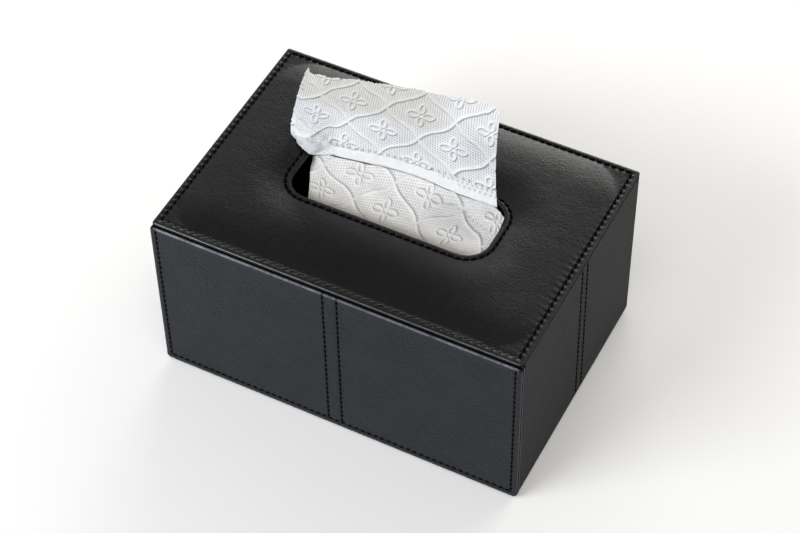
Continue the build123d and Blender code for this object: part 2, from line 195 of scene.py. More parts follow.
def leather(name, dark, light, highlight_colour, rough=0.46, pebble=0.85, bump=0.55, spec=0.5, sheen=0.0, mottled=22.0, spread_=0.15):
    """Fine pebbled leather: voronoi pebbles, a softer crease noise, and lighter on its edges, a painted highlight set
    by a mesh attribute.
    """
    m, nt, b = new_mat(name)
    tc = node(nt, "ShaderNodeTexCoord")
    co = tc.outputs["Object"]
    big = node(nt, "ShaderNodeTexNoise", in_Scale=1000.0 / mottled, in_Detail=3.0, in_Roughness=0.6)
    fine = node(nt, "ShaderNodeTexNoise", in_Scale=1000.0 / 1.1, in_Detail=3.0, in_Roughness=0.7)
    warp = node(nt, "ShaderNodeTexNoise", in_Scale=1000.0 / 3.0, in_Detail=1.0)
    vor = node(nt, "ShaderNodeTexVoronoi", in_Scale=1000.0 / pebble, feature="SMOOTH_F1")
    vor.inputs["Smoothness"].default_value = 0.35
    for n in (big, fine, warp):
        nt.links.new(co, n.inputs["Vector"])
    shift = node(nt, "ShaderNodeVectorMath", operation="MULTIPLY_ADD")
    nt.links.new(warp.outputs["Color"], shift.inputs[0])
    shift.inputs[1].default_value = (0.0006, 0.0006, 0.0006)
    nt.links.new(co, shift.inputs[2])
    nt.links.new(shift.outputs[0], vor.inputs["Vector"])
    # colour: dark in the creases, slightly cloudy over the hide, lighter on the edges as a painted highlight
    mixed = math_node(nt, "ADD", math_node(nt, "MULTIPLY", big.outputs["Fac"], 0.25),
                      math_node(nt, "MULTIPLY", fine.outputs["Fac"], 0.75))
    col = ramp(nt, mixed, [(0.51 - spread_, dark), (0.51 + spread_, light)])
    # painted highlight: a mesh attribute mixes a lighter colour in on the edges
    edge_highlight = node(nt, "ShaderNodeAttribute", attribute_name="edge_highlight")
    highlight_mix = node(nt, "ShaderNodeMix", data_type="RGBA", blend_type="MIX")
    nt.links.new(edge_highlight.outputs["Fac"], highlight_mix.inputs[0])
    nt.links.new(col.outputs[0], highlight_mix.inputs[6])
    highlight_mix.inputs[7].default_value = (*highlight_colour, 1)
    nt.links.new(highlight_mix.outputs[2], b.inputs["Base Color"])
    # roughness
    rr = nt.nodes.new("ShaderNodeMapRange")
    nt.links.new(fine.outputs["Fac"], rr.inputs[0])
    rr.inputs[1].default_value, rr.inputs[2].default_value = 0.3, 0.7
    rr.inputs[3].default_value, rr.inputs[4].default_value = rough - 0.05, rough + 0.07
    nt.links.new(rr.outputs[0], b.inputs["Roughness"])
    # bump: pebbles over soft creases
    height = math_node(nt, "ADD", math_node(nt, "MULTIPLY", vor.outputs["Distance"], -0.8),
                       math_node(nt, "MULTIPLY", fine.outputs["Fac"], 0.45))
    bm = node(nt, "ShaderNodeBump", in_Strength=bump, in_Distance=0.00022)
    nt.links.new(height, bm.inputs["Height"])
    soft = node(nt, "ShaderNodeTexNoise", in_Scale=1000.0 / 7.0, in_Detail=2.0)
    nt.links.new(co, soft.inputs["Vector"])
    bm2 = node(nt, "ShaderNodeBump", in_Strength=0.35, in_Distance=0.0006)
    nt.links.new(soft.outputs["Fac"], bm2.inputs["Height"])
    nt.links.new(bm2.outputs[0], bm.inputs["Normal"])
    nt.links.new(bm.outputs[0], b.inputs["Normal"])
    b.inputs["Specular IOR Level"].default_value = spec
    b.inputs["Sheen Weight"].default_value = sheen
    b.inputs["Sheen Roughness"].default_value = 0.5
    return m


def cloth(name, dark, light, rough=0.9, scale=0.5, bump=0.6, sheen=0.3, dist=0.00025):
    """Felt, suede or fibre: fine tangled fibres with cloudy nap."""
    m, nt, b = new_mat(name)
    tc = node(nt, "ShaderNodeTexCoord")
    co = tc.outputs["Object"]
    nap = node(nt, "ShaderNodeTexNoise", in_Scale=1000.0 / 9.0, in_Detail=4.0, in_Roughness=0.65)
    fib = node(nt, "ShaderNodeTexNoise", in_Scale=1000.0 / scale, in_Detail=5.0, in_Roughness=0.8, in_Distortion=1.2)
    for n in (nap, fib):
        nt.links.new(co, n.inputs["Vector"])
    mixed = math_node(nt, "ADD", math_node(nt, "MULTIPLY", nap.outputs["Fac"], 0.5),
                      math_node(nt, "MULTIPLY", fib.outputs["Fac"], 0.5))
    col = ramp(nt, mixed, [(0.35, dark), (0.68, light)])
    nt.links.new(col.outputs[0], b.inputs["Base Color"])
    bm = node(nt, "ShaderNodeBump", in_Strength=bump, in_Distance=dist)
    nt.links.new(fib.outputs["Fac"], bm.inputs["Height"])
    nt.links.new(bm.outputs[0], b.inputs["Normal"])
    b.inputs["Roughness"].default_value = rough
    b.inputs["Sheen Weight"].default_value = sheen
    b.inputs["Sheen Roughness"].default_value = 0.45
    b.inputs["Specular IOR Level"].default_value = 0.25
    return m


def board(name):
    """Fibreboard dyed black all through, with pressed fibres and paler specks."""
    m, nt, b = new_mat(name)
    tc = node(nt, "ShaderNodeTexCoord")
    co = tc.outputs["Object"]
    fib = node(nt, "ShaderNodeTexNoise", in_Scale=1000.0 / 1.2, in_Detail=5.0, in_Roughness=0.75, in_Distortion=0.8)
    big = node(nt, "ShaderNodeTexNoise", in_Scale=1000.0 / 30.0, in_Detail=2.0)
    for n in (fib, big):
        nt.links.new(co, n.inputs["Vector"])
    mixed = math_node(nt, "ADD", math_node(nt, "MULTIPLY", fib.outputs["Fac"], 0.6),
                      math_node(nt, "MULTIPLY", big.outputs["Fac"], 0.4))
    col = ramp(nt, mixed, [(0.34, (0.010, 0.0095, 0.009)), (0.52, (0.020, 0.019, 0.018)), (0.70, (0.042, 0.039, 0.036))])
    nt.links.new(col.outputs[0], b.inputs["Base Color"])
    bm = node(nt, "ShaderNodeBump", in_Strength=0.4, in_Distance=0.0002)
    nt.links.new(fib.outputs["Fac"], bm.inputs["Height"])
    nt.links.new(bm.outputs[0], b.inputs["Normal"])
    b.inputs["Roughness"].default_value = 0.82
    return m


def thread(name, dark, light, rough=0.5, spec=0.05):
    """Waxed two-ply thread; the twist is in the mesh, the fibres here."""
    m, nt, b = new_mat(name)
    uv = node(nt, "ShaderNodeTexCoord")
    wave = node(nt, "ShaderNodeTexWave", in_Scale=5.0, in_Distortion=1.5, in_Detail=2.0, bands_direction="DIAGONAL")
    nt.links.new(uv.outputs["UV"], wave.inputs["Vector"])
    col = ramp(nt, wave.outputs["Fac"], [(0.1, dark), (0.9, light)])
    nt.links.new(col.outputs[0], b.inputs["Base Color"])
    bm = node(nt, "ShaderNodeBump", in_Strength=0.5, in_Distance=0.00008)
    nt.links.new(wave.outputs["Fac"], bm.inputs["Height"])
    nt.links.new(bm.outputs[0], b.inputs["Normal"])
    b.inputs["Roughness"].default_value = rough
    b.inputs["Specular IOR Level"].default_value = spec
    return m


def tissue_paper(name, dark, light, bump=0.5):
    """Soft tissue paper: cloudy fibres, a faint crepe, and fine pits set out in staggered rows on the sheet's own
    coordinates, their colour darkened as painted shade in their hollows. The attribute plain is 1 where the sheet has
    no pits, ribs is 1 where they run together, and shade is 1 in the depth of folds and beside the ridges, where the
    colour is darkened as painted shade; a warm attribute tints the colour tan and darker, a painted warm shade."""
    m, nt, b = new_mat(name)
    tc = node(nt, "ShaderNodeTexCoord")
    co = tc.outputs["Object"]
    crepe = node(nt, "ShaderNodeTexNoise", in_Scale=1000.0 / 0.7, in_Detail=3.0, in_Roughness=0.7)
    cloud = node(nt, "ShaderNodeTexNoise", in_Scale=1000.0 / 4.0, in_Detail=4.0, in_Roughness=0.6)
    for n in (crepe, cloud):
        nt.links.new(co, n.inputs["Vector"])
    mixed = math_node(nt, "ADD", math_node(nt, "MULTIPLY", crepe.outputs["Fac"], 0.45),
                      math_node(nt, "MULTIPLY", cloud.outputs["Fac"], 0.55))
    col = ramp(nt, mixed, [(0.35, dark), (0.62, light)])
    sep = node(nt, "ShaderNodeSeparateXYZ")
    nt.links.new(tc.outputs["UV"], sep.inputs[0])
    turn = lambda fu, fv: math_node(nt, "COSINE", math_node(nt, "ADD", math_node(nt, "MULTIPLY", sep.outputs["X"], 133.0 * 2 * math.pi * fu),
                                                            math_node(nt, "MULTIPLY", sep.outputs["Y"], 195.0 * 2 * math.pi * fv)))
    ca, cb = turn(0.625, -0.035), turn(0.095, -0.60)
    ribs = node(nt, "ShaderNodeAttribute", attribute_name="ribs")
    plain = node(nt, "ShaderNodeAttribute", attribute_name="plain")
    shade = node(nt, "ShaderNodeAttribute", attribute_name="shade")
    half = lambda c: math_node(nt, "MULTIPLY", math_node(nt, "ADD", c, 1.0), 0.5)
    dots = math_node(nt, "POWER", math_node(nt, "MULTIPLY", half(ca), half(cb)), 1.1)
    lines = math_node(nt, "POWER", math_node(nt, "MAXIMUM", ca, 0.0), 1.5)
    both = node(nt, "ShaderNodeMix", data_type="FLOAT")
    nt.links.new(ribs.outputs["Fac"], both.inputs[0])
    nt.links.new(dots, both.inputs[2])
    nt.links.new(math_node(nt, "MULTIPLY", lines, 0.75), both.inputs[3])
    pits = math_node(nt, "MULTIPLY", both.outputs[0], math_node(nt, "SUBTRACT", 1.0, plain.outputs["Fac"]))
    # painted shade: the pits and the shade attribute darken the colour towards a cool grey
    low = node(nt, "ShaderNodeMix", data_type="RGBA", blend_type="MULTIPLY")
    nt.links.new(math_node(nt, "MINIMUM", math_node(nt, "ADD", pits, shade.outputs["Fac"]), 1.0), low.inputs[0])
    nt.links.new(col.outputs[0], low.inputs[6])
    low.inputs[7].default_value = (0.46, 0.47, 0.51, 1)
    warm_shade = node(nt, "ShaderNodeAttribute", attribute_name="warm_shade")
    # painted warm shade: a mesh attribute tints the colour tan and darker
    tone = node(nt, "ShaderNodeMix", data_type="RGBA", blend_type="MULTIPLY")
    nt.links.new(warm_shade.outputs["Fac"], tone.inputs[0])
    nt.links.new(low.outputs[2], tone.inputs[6])
    tone.inputs[7].default_value = (0.66, 0.615, 0.55, 1)
    nt.links.new(tone.outputs[2], b.inputs["Base Color"])
    height = math_node(nt, "SUBTRACT", math_node(nt, "MULTIPLY", crepe.outputs["Fac"], 0.35), pits)
    bm = node(nt, "ShaderNodeBump", in_Strength=bump, in_Distance=0.00028)
    nt.links.new(height, bm.inputs["Height"])
    nt.links.new(bm.outputs[0], b.inputs["Normal"])
    b.inputs["Roughness"].default_value = 0.95
    b.inputs["Specular IOR Level"].default_value = 0.15
    b.inputs["Sheen Weight"].default_value = 0.10
    return m


# one black leather in three copies with base colours tuned apart: the front's lighter and bluish, the lid's darkest,
# painted light for how each face is lit; the last colour of each is its painted edge highlight
LID = leather("lid_leather", (0.0024, 0.0022, 0.0022), (0.0052, 0.0049, 0.0050), (0.26, 0.26, 0.265), rough=0.41, pebble=1.15, bump=0.55, spec=0.40)
FRONT = leather("front_leather", (0.0075, 0.0085, 0.0112), (0.0165, 0.0185, 0.0235), (0.24, 0.255, 0.29), rough=0.38, pebble=1.2, bump=1.35, spec=0.15, spread_=0.10)
WALL = leather("wall_leather", (0.0106, 0.0106, 0.0108), (0.0196, 0.0196, 0.0198), (0.12, 0.12, 0.12), rough=0.60, pebble=1.1, bump=1.3, spec=0.11, spread_=0.08)
THREAD = thread("black_thread", (0.0012, 0.0012, 0.0012), (0.0040, 0.0040, 0.0040), rough=0.85, spec=0.03)
# the lid's front row is the same black thread, made grey as painted light where the light catches it
THREAD_LIT = thread("front_thread_lit", (0.035, 0.035, 0.035), (0.135, 0.133, 0.131), rough=0.55, spec=0.2)
EDGE_PAINT_SHADE = thread("edge_paint_gap_shade", (0.0015, 0.0015, 0.0015), (0.0030, 0.0030, 0.0030), rough=0.9, spec=0.02)
BOARD = board("fibreboard")
SUEDE = cloth("suede_lining", (0.026, 0.026, 0.029), (0.058, 0.058, 0.063), rough=0.95, scale=0.45, sheen=0.5)
FELT = cloth("base_felt", (0.012, 0.012, 0.013), (0.030, 0.030, 0.032), rough=0.97, scale=0.8, bump=0.9, dist=0.0004)
PLATE = cloth("fibre_sheet", (0.010, 0.010, 0.011), (0.022, 0.022, 0.023), rough=0.62, scale=0.6, bump=0.35, sheen=0.0)
FOAM = cloth("pad_foam", (0.50, 0.47, 0.40), (0.66, 0.64, 0.58), rough=0.95, scale=0.9, bump=1.0, sheen=0.0, dist=0.0005)
TISSUE = tissue_paper("tissue_white", (0.865, 0.87, 0.877), (0.965, 0.965, 0.97), bump=0.65)
# the next sheet is the same paper in a warmer copy, painted warm light
TISSUE_WARM_LIGHT = tissue_paper("tissue_warm_light", (0.86, 0.845, 0.815), (0.97, 0.955, 0.93))

for name, mat in {"base_felt": FELT, "base_plate": PLATE, "floor_board": BOARD, "floor_lining": SUEDE,
                  "left_wall_board": BOARD, "right_wall_board": BOARD, "back_wall_board": BOARD, "wall_lining": SUEDE,
                  "top_board": BOARD, "top_lining": SUEDE, "slot_facing": LID, "drawer_front_board": BOARD,
                  "drawer_front_lining": SUEDE, "drawer_base_board": BOARD, "drawer_left_side": BOARD,
                  "drawer_right_side": BOARD, "drawer_back_wall": BOARD, "drawer_floor_lining": SUEDE,
                  "drawer_wall_lining": SUEDE, "drawer_glide_felts": FELT}.items():
    me = nodes[name].data
    if not me.materials:
        me.materials.append(mat)
    for k in range(len(me.materials)):
        me.materials[k] = mat


# ================================================================== stitches
def stitch_set(name, runs, body, mat, replaces=()):
    """Separate stitches. Each run is (centres, along, normal, length, radius, slant in degrees, rise)."""
    rings, seg = 11, 8
    verts, uvs, faces, count = [], [], [], 0
    u = np.linspace(-1, 1, rings)
    th = np.arange(seg) * 2 * math.pi / seg
    for centres, along, normal, length, radius, slant, rise in runs:
        for c, t, n in zip(centres, along, normal):
            c, t, n = np.array(c, float), np.array(t, float), np.array(n, float)
            side = np.cross(n, t)
            a = math.radians(slant)
            d = math.cos(a) * t + math.sin(a) * side
            s2 = np.cross(n, d)
            mid = c[None] + d[None] * (u * length / 2)[:, None] + n[None] * (rise * (1 - np.abs(u) ** 3.2) - 0.30 * np.abs(u) ** 6)[:, None]
            rad = radius * np.sqrt(np.clip(1.0 - (np.abs(u) ** 5) * 0.9, 0.08, 1))
            twist = 2.4 * math.pi * u * (length / 4.0)
            r = rad[:, None] * (1 + 0.13 * np.cos(2 * (th[None] - twist[:, None])))
            ring = mid[:, None] + s2[None, None] * (np.cos(th) * r)[..., None] + n[None, None] * (np.sin(th) * r * 0.85)[..., None]
            verts.append(ring.reshape(-1, 3))
            uvs.append(np.stack(np.broadcast_arrays((u * length)[:, None] * 0.35, th[None] / (2 * math.pi)), -1).reshape(-1, 2))
            faces.append(grid_faces(rings, seg, wrap_v=True, flip=True, base=count))
            base = count
            cap0 = np.array([[base + 0, base + 1, base + 2, base + 3], [base + 0, base + 3, base + 4, base + 7], [base + 4, base + 5, base + 6, base + 7]])
            faces.append(cap0)
            faces.append(cap0[:, ::-1] + (rings - 1) * seg)
            count += rings * seg
    o = mesh_object(name, np.concatenate(verts), np.concatenate(faces), body, mat, uv=np.concatenate(uvs))
    if replaces:
        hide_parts(*replaces)
    return o


def spaced(a, b, pitch):
    n = max(1, round(abs(b - a) / pitch))
    return a + (np.arange(n) + 0.5) * (b - a) / n, abs(b - a) / n, n


# ================================================================== the lid's leather
PITCH_TOP = 4.5
xs_row, px_row, _ = spaced(-ROW_X, ROW_X, PITCH_TOP)
ys_row, py_row, _ = spaced(ROW_Y0, ROW_Y1, PITCH_TOP)


def hole_dent(s, s0, pitch, g, sigma=0.55):
    """1 at each needle hole of a row; s along the row, g across it."""
    ph = (s - s0) / pitch
    along = (ph - np.round(ph)) * pitch
    return np.exp(-(along ** 2 + g ** 2) / (2 * sigma ** 2))


def slot_arclength(x, y, k=SLOT_ROW):
    """Arc length along the slot's stitch row of the nearest point, and the row's length."""
    a, b, r = SLOT_X + k, SLOT_Y + k, SLOT_R + k
    lx, ly, q = 2 * (a - r), 2 * (b - r), math.pi * r / 2
    total = 2 * lx + 2 * ly + 4 * q
    cx, cy = np.clip(x, -(a - r), a - r), np.clip(y, -(b - r), b - r)
    ang = np.arctan2(y - cy, x - cx)
    s = np.zeros_like(x, float)
    right, left = (x > a - r), (x < -(a - r))
    up, down = (y > b - r), (y < -(b - r))
    s = np.where(right & ~up & ~down, cy + (b - r), s)
    s = np.where(right & up, ly + ang * r, s)
    s = np.where(~right & ~left & (y > 0), ly + q + (a - r) - cx, s)
    s = np.where(left & up, ly + q + lx + (ang - math.pi / 2) * r, s)
    s = np.where(left & ~up & ~down, ly + 2 * q + lx + (b - r) - cy, s)
    s = np.where(left & down, 2 * ly + 2 * q + lx + (ang + math.pi) * r, s)
    s = np.where(~right & ~left & (y <= 0), 2 * ly + 3 * q + lx + cx + (a - r), s)
    s = np.where(right & down, 2 * ly + 3 * q + 2 * lx + (ang + math.pi / 2) * r, s)
    return s, total


def slot_point(s, k=SLOT_ROW):
    """Point, tangent on the slot's stitch row at arc length s."""
    a, b, r = SLOT_X + k, SLOT_Y + k, SLOT_R + k
    lx, ly, q = 2 * (a - r), 2 * (b - r), math.pi * r / 2
    for kind, length, x0, y0, a0 in (("l", ly, a, -(b - r), 90), ("c", q, a - r, b - r, 0), ("l", lx, a - r, b, 180), ("c", q, -(a - r), b - r, 90),
                                     ("l", ly, -a, b - r, 270), ("c", q, -(a - r), -(b - r), 180), ("l", lx, -(a - r), -b, 0), ("c", q, a - r, -(b - r), 270)):
        if s <= length:
            if kind == "l":
                t = math.radians(a0)
                d = (math.cos(t), math.sin(t))
                return (x0 + d[0] * s, y0 + d[1] * s), d
            t = math.radians(a0) + s / r
            return (x0 + r * math.cos(t), y0 + r * math.sin(t)), (-math.sin(t), math.cos(t))
        s -= length
    return slot_point(0.0, k)


SLOT_ARC = slot_arclength(np.array([0.0]), np.array([50.0]))[1]
N_SLOT = round(SLOT_ARC / PITCH_TOP)
P_SLOT = SLOT_ARC / N_SLOT
SWELL_H = 3.1


def lid_height(x, y, stitched=True):
    """Height of the lid's leather over the board, from the distances to its edge and to the slot."""
    d = -sd_rr(x, y, 0, (Y_BACK + Y_LID_FRONT) / 2, OX, (Y_BACK - Y_LID_FRONT) / 2, 1.5)
    e = sd_rr(x, y, 0, 0, SLOT_X, SLOT_Y, SLOT_R)
    cy, hb = (ROW_Y0 + ROW_Y1) / 2, (ROW_Y1 - ROW_Y0) / 2
    row = sd_rr(x, y, 0, cy, ROW_X, hb, 1.2)
    soft = -sd_rr(x, y, 0, cy, ROW_X, hb, 26.0) - 0.6
    # padded swell: rises fast inside the stitch row, then flattens
    rise = lambda u, length, p: np.where(u > 0, 1 - np.clip(1 - u / length, 0, 1) ** p, 0.0)
    swell = SWELL_H * rise(soft, 30.0, 2.5) * rise(e - SLOT_ROW - 0.4, 24.0, 2.2)
    z = Z_LID + swell
    flat_front = smooth01((-72.6 - y) / 1.6) * smooth01((OX - 3.0 - np.abs(x)) / 3.0)
    z = z + 0.30 * gauss(d - 1.8, 0.9) * (row > 0) * smooth01(d / 1.0) * (1 - 0.85 * flat_front)
    z = z - 0.30 * gauss(row, 0.60)
    z = z - 0.30 * gauss(e - SLOT_ROW, 0.60)
    z = z + 0.20 * gauss(e - 1.9, 0.7)
    if stitched:
        side = np.abs(x) / ROW_X > (np.abs(y - cy) / hb)
        sx, sy = ROW_X * 2 / len(xs_row), (ROW_Y1 - ROW_Y0) / len(ys_row)
        dent = np.where(side, hole_dent(y, ROW_Y0, sy, row), hole_dent(x, -ROW_X, sx, row))
        z = z - 0.22 * dent
        s, total = slot_arclength(x, y)
        z = z - 0.22 * hole_dent(s, 0.0, P_SLOT, e - SLOT_ROW)
        # puckers that run from the holes into the swell
        inside = np.clip(-row, 0, None)
        puck = np.where(side, np.cos(2 * math.pi * (y - ROW_Y0) / sy), np.cos(2 * math.pi * (x + ROW_X) / sx))
        crease = 1.0 + 0.9 * smooth01((x - 90) / 15) * side * smooth01((20 - y) / 30)
        z = z - 0.060 * crease * puck * np.exp(-inside / (2.2 * crease)) * smooth01(inside / 1.0) * (row < 0)
        beside = np.clip(row, 0, None)
        z = z - (0.085 + 0.10 * side) * puck * np.exp(-((beside - 1.3) / 0.9) ** 2) * (row > 0)
        out = np.clip(e - SLOT_ROW, 0, None)
        z = z - 0.05 * np.cos(2 * math.pi * s / P_SLOT) * np.exp(-out / 2.0) * smooth01(out / 1.0) * (e > SLOT_ROW)
    # hide unevenness
    z = z + 0.10 * fbm(x, y, 26.0, 2, 3) * smooth01(soft / 10.0) * smooth01((e - 5) / 10.0)
    z = np.where((d > 0.8) & (e > 1.5), np.maximum(z, Z_BOARD_HI + 0.04), z)
    return z, d, e


def rr_loop(a, b, r, cx, cy, nl, ns, nc):
    """Points of a rounded rectangle, anticlockwise from the foot of its right side."""
    pts = []
    k = np.linspace(-1, 1, ns, endpoint=False)[:, None]
    pts.append(np.hstack([np.full((ns, 1), a), k * (b - r)]))
    t = np.linspace(0, math.pi / 2, nc, endpoint=False)
    arc = lambda sx, sy, o: np.stack([sx * (a - r) + r * np.cos(t + o), sy * (b - r) + r * np.sin(t + o)], -1)
    pts.append(arc(1, 1, 0))
    k = np.linspace(1, -1, nl, endpoint=False)[:, None]
    pts.append(np.hstack([k * (a - r), np.full((nl, 1), b)]))
    pts.append(arc(-1, 1, math.pi / 2))
    k = np.linspace(1, -1, ns, endpoint=False)[:, None]
    pts.append(np.hstack([np.full((ns, 1), -a), k * (b - r)]))
    pts.append(arc(-1, -1, math.pi))
    k = np.linspace(-1, 1, nl, endpoint=False)[:, None]
    pts.append(np.hstack([k * (a - r), np.full((nl, 1), -b)]))
    pts.append(arc(1, -1, 1.5 * math.pi))
    return np.concatenate(pts) + np.array([[cx, cy]])


NL, NS, NC = (400, 280, 34)
CY, HB = (Y_BACK + Y_LID_FRONT) / 2, (Y_BACK - Y_LID_FRONT) / 2
outer_loop = lambda d: rr_loop(OX - d, HB - d, max(1.5 - d, 0.5 + 0.55 * max(d - 4, 0)), 0, CY, NL, NS, NC)
slot_loop = lambda e: rr_loop(SLOT_X + e, SLOT_Y + e, SLOT_R + e, 0, 0, NL, NS, NC)

lid_rings, edge_highlight = [], []
# underside, edge and its tight rounding, with a painted highlight: a bright line along the front
def front_highlight(loop):
    x, y = loop[:, 0], loop[:, 1]
    front_side = smooth01((-76.6 - y) / 1.2) * smooth01((OX - 1.0 - np.abs(x)) / 1.5)
    return 0.04 + front_side * (0.42 + 0.50 * smooth01((40 - x) / 150)) * (0.85 + 0.25 * vnoise(x, y, 1.7, 61))


for d, z, w in ((2.4, Z_UNDER + 0.04, 0), (1.2, Z_UNDER, 0), (0.6, Z_UNDER + 0.02, 0), (0.3, Z_UNDER + 0.10, 0), (0.12, Z_UNDER + 0.25, 0), (0.04, Z_UNDER + 0.45, 0.1),
                (0.0, Z_UNDER + 0.72, 0.25), (0.0, Z_UNDER + 1.0, 0.25), (0.0, Z_LID - 0.75, 0), (0.0, Z_LID - 0.50, 0.3), (0.04, Z_LID - 0.30, 0.9), (0.13, Z_LID - 0.14, 1.0), (0.28, Z_LID - 0.04, 0.9), (0.5, Z_LID, 0.35)):
    loop = outer_loop(d)
    lid_rings.append(np.column_stack([loop, np.full(len(loop), z)]))
    edge_highlight.append(w * front_highlight(loop))
ring_d = [0.9, 1.3, 1.8, 2.3, 2.7, 3.0, 3.25, 3.5, 3.75, 4.0, 4.25, 4.5, 4.8, 5.2, 5.7, 6.4, 7.2, 8.2]
flat = [(outer_loop(d)) for d in ring_d]
la, lb = outer_loop(9.4), slot_loop(11.0)
for w in smooth01(np.linspace(0, 1, 30)) * 0.35 + np.linspace(0, 1, 30) * 0.65:
    flat.append(la * (1 - w) + lb * w)
ring_e = [9.8, 8.7, 7.7, 6.9, 6.2, 5.7, 5.3, 4.95, 4.65, 4.4, 4.15, 3.95, 3.75, 3.5, 3.2, 2.8, 2.4, 2.0, 1.6]
flat += [slot_loop(e) for e in ring_e]
# the flat rings get a faint painted highlight near the slot's lip and inside the outer edge, as do the lip's own rings
# below
for loop in flat:
    z, d, e = lid_height(loop[:, 0], loop[:, 1])
    lid_rings.append(np.column_stack([loop, z]))
    edge_highlight.append(0.012 * gauss(e - 2.2, 0.7) + 0.02 * gauss(d - 1.0, 0.5))
lip_z = float(lid_height(np.array([SLOT_X + 1.6]), np.array([0.0]))[0][0])
for e, z, w in ((1.2, lip_z - 0.10, 0.012), (0.8, lip_z - 0.32, 0.012), (0.4, lip_z - 0.70, 0.012), (0.08, lip_z - 1.15, 0.006), (-0.12, lip_z - 1.6, 0), (-0.18, lip_z - 1.95, 0),
                (-0.12, lip_z - 2.15, 0), (0.05, lip_z - 2.28, 0)):
    loop = slot_loop(e)
    lid_rings.append(np.column_stack([loop, np.full(len(loop), z)]))
    edge_highlight.append(np.full(len(loop), w))
lid_grid = np.stack(lid_rings, 1)
edge_highlight = np.stack(edge_highlight, 1)
n_lid = grid_normals(lid_grid, wrap_u=True)
if n_lid[:, 40, 2].mean() < 0:
    n_lid = -n_lid
inner = lid_grid - n_lid * 0.30
inner[:, 14:-8, 2] = np.maximum(inner[:, 14:-8, 2], Z_BOARD_HI - 0.2)
v, f = closed_shell(lid_grid, inner, lid_grid.shape[0], lid_grid.shape[1], True)
a = lid_grid[0, 30] ; b = lid_grid[1, 30] ; c = lid_grid[0, 31]
if np.cross(b - a, c - a)[2] < 0:
    f = f[:, ::-1]
lid = mesh_object("lid_leather", v, f, "shell", LID, attrs={"edge_highlight": np.concatenate([edge_highlight.ravel(), np.zeros(edge_highlight.size)])})
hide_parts("top_cover")

# black paint on the lid's cut edge, in two bands with the leather's fold between them; it is also painted shade for
# the dark gap under the lid's edge
def edge_band(name, profile):
    out = np.stack([np.column_stack([outer_loop(d), np.full(len(outer_loop(d)), z)]) for d, z in profile], 1)
    inn = np.stack([np.column_stack([outer_loop(d + 0.12), np.full(len(outer_loop(d)), z)]) for d, z in profile], 1)
    bv, bf = closed_shell(out, inn, out.shape[0], out.shape[1], True)
    if bf[0][0] == 0 and np.cross(bv[bf[0][1]] - bv[bf[0][0]], bv[bf[0][2]] - bv[bf[0][0]])[0] * bv[bf[0][0]][0] < 0:
        bf = bf[:, ::-1]
    return mesh_object(name, bv, bf, "shell", EDGE_PAINT_SHADE)


edge_band("lid_edge_band_low", [(0.28, Z_UNDER + 0.08), (0.09, Z_UNDER + 0.24), (0.01, Z_UNDER + 0.44), (-0.03, Z_UNDER + 0.74)])
edge_band("lid_edge_band_high", [(-0.03, Z_UNDER + 1.0), (-0.03, Z_LID - 0.60), (-0.01, Z_LID - 0.47)])

# foam pad under it
pad_out, pad_in = rr_loop(ROW_X - 1.2, (ROW_Y1 - ROW_Y0) / 2 - 1.2, 5.0, 0, (ROW_Y0 + ROW_Y1) / 2, 110, 76, 10), rr_loop(SLOT_X + 5.4, SLOT_Y + 5.4, SLOT_R + 5.4, 0, 0, 110, 76, 10)
rows = [np.column_stack([pad_out, np.full(len(pad_out), Z_BOARD_HI)])]
for w in np.linspace(0, 1, 26):
    loop = pad_out * (1 - w) + pad_in * w
    z = lid_height(loop[:, 0], loop[:, 1], stitched=False)[0] - 0.62
    rows.append(np.column_stack([loop, np.maximum(z, Z_BOARD_HI + 0.03)]))
rows.append(np.column_stack([pad_in, np.full(len(pad_in), Z_BOARD_HI)]))
g = np.stack(rows, 1)
pf = np.concatenate([grid_faces(g.shape[0], g.shape[1], True)])
k = np.arange(g.shape[0]); k1 = (k + 1) % g.shape[0]; nv = g.shape[1]
pf = np.concatenate([pf, np.stack([k * nv, k1 * nv, k1 * nv + nv - 1, k * nv + nv - 1], -1)[:, ::-1]])
pad = mesh_object("lid_foam_pad", g, pf, "shell", FOAM)
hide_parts("top_pad")

# lid stitches
def lid_z(x, y):
    return float(lid_height(np.array([x]), np.array([y]), stitched=False)[0][0])

up = np.array([0, 0, 1.0])
zr = Z_LID - 0.22
front_c = [(x, ROW_Y0, zr) for x in xs_row]
back_c = [(x, ROW_Y1, zr) for x in xs_row]
right_c = [(ROW_X, y, zr) for y in ys_row]
left_c = [(-ROW_X, y, zr) for y in ys_row]
one = lambda c, t: ([t] * len(c), [(0, 0, 1)] * len(c))
runs_black = [(right_c, *one(right_c, (0, 1, 0)), 3.8, 0.62, 17, 0.32), (left_c, *one(left_c, (0, 1, 0)), 3.7, 0.52, 14, 0.30),
              (back_c, *one(back_c, (-1, 0, 0)), 3.9, 0.60, 17, 0.32)]
stitch_set("lid_border_stitches", runs_black, "shell", THREAD, ("top_border_thread",))
# the front row's thread is painted lit grey
stitch_set("lid_front_stitches", [(front_c, *one(front_c, (1, 0, 0)), 3.0, 0.31, 22, 0.28)], "shell", THREAD_LIT)
pts = [slot_point((i + 0.5) * P_SLOT) for i in range(N_SLOT)]
stitch_set("slot_stitches", [([(p[0][0], p[0][1], zr) for p in pts], [(p[1][0], p[1][1], 0) for p in pts], [(0, 0, 1)] * len(pts), 4.1, 0.64, 14, 0.30)],
           "shell", THREAD, ("slot_thread",))


# ================================================================== the drawer front's leather
def spread(lo, hi, coarse, fine, spots, reach=2.2):
    """Sorted samples from lo to hi, fine near the spots."""
    out, x = [lo], lo
    while x < hi - 1e-6:
        near = min(abs(x - s) for s in spots)
        x += fine if near < reach else min(coarse, fine + (near - reach) * 0.35)
        out.append(min(x, hi))
    if out[-1] - out[-2] < fine * 0.3:
        out.pop(-2)
    return np.array(out)


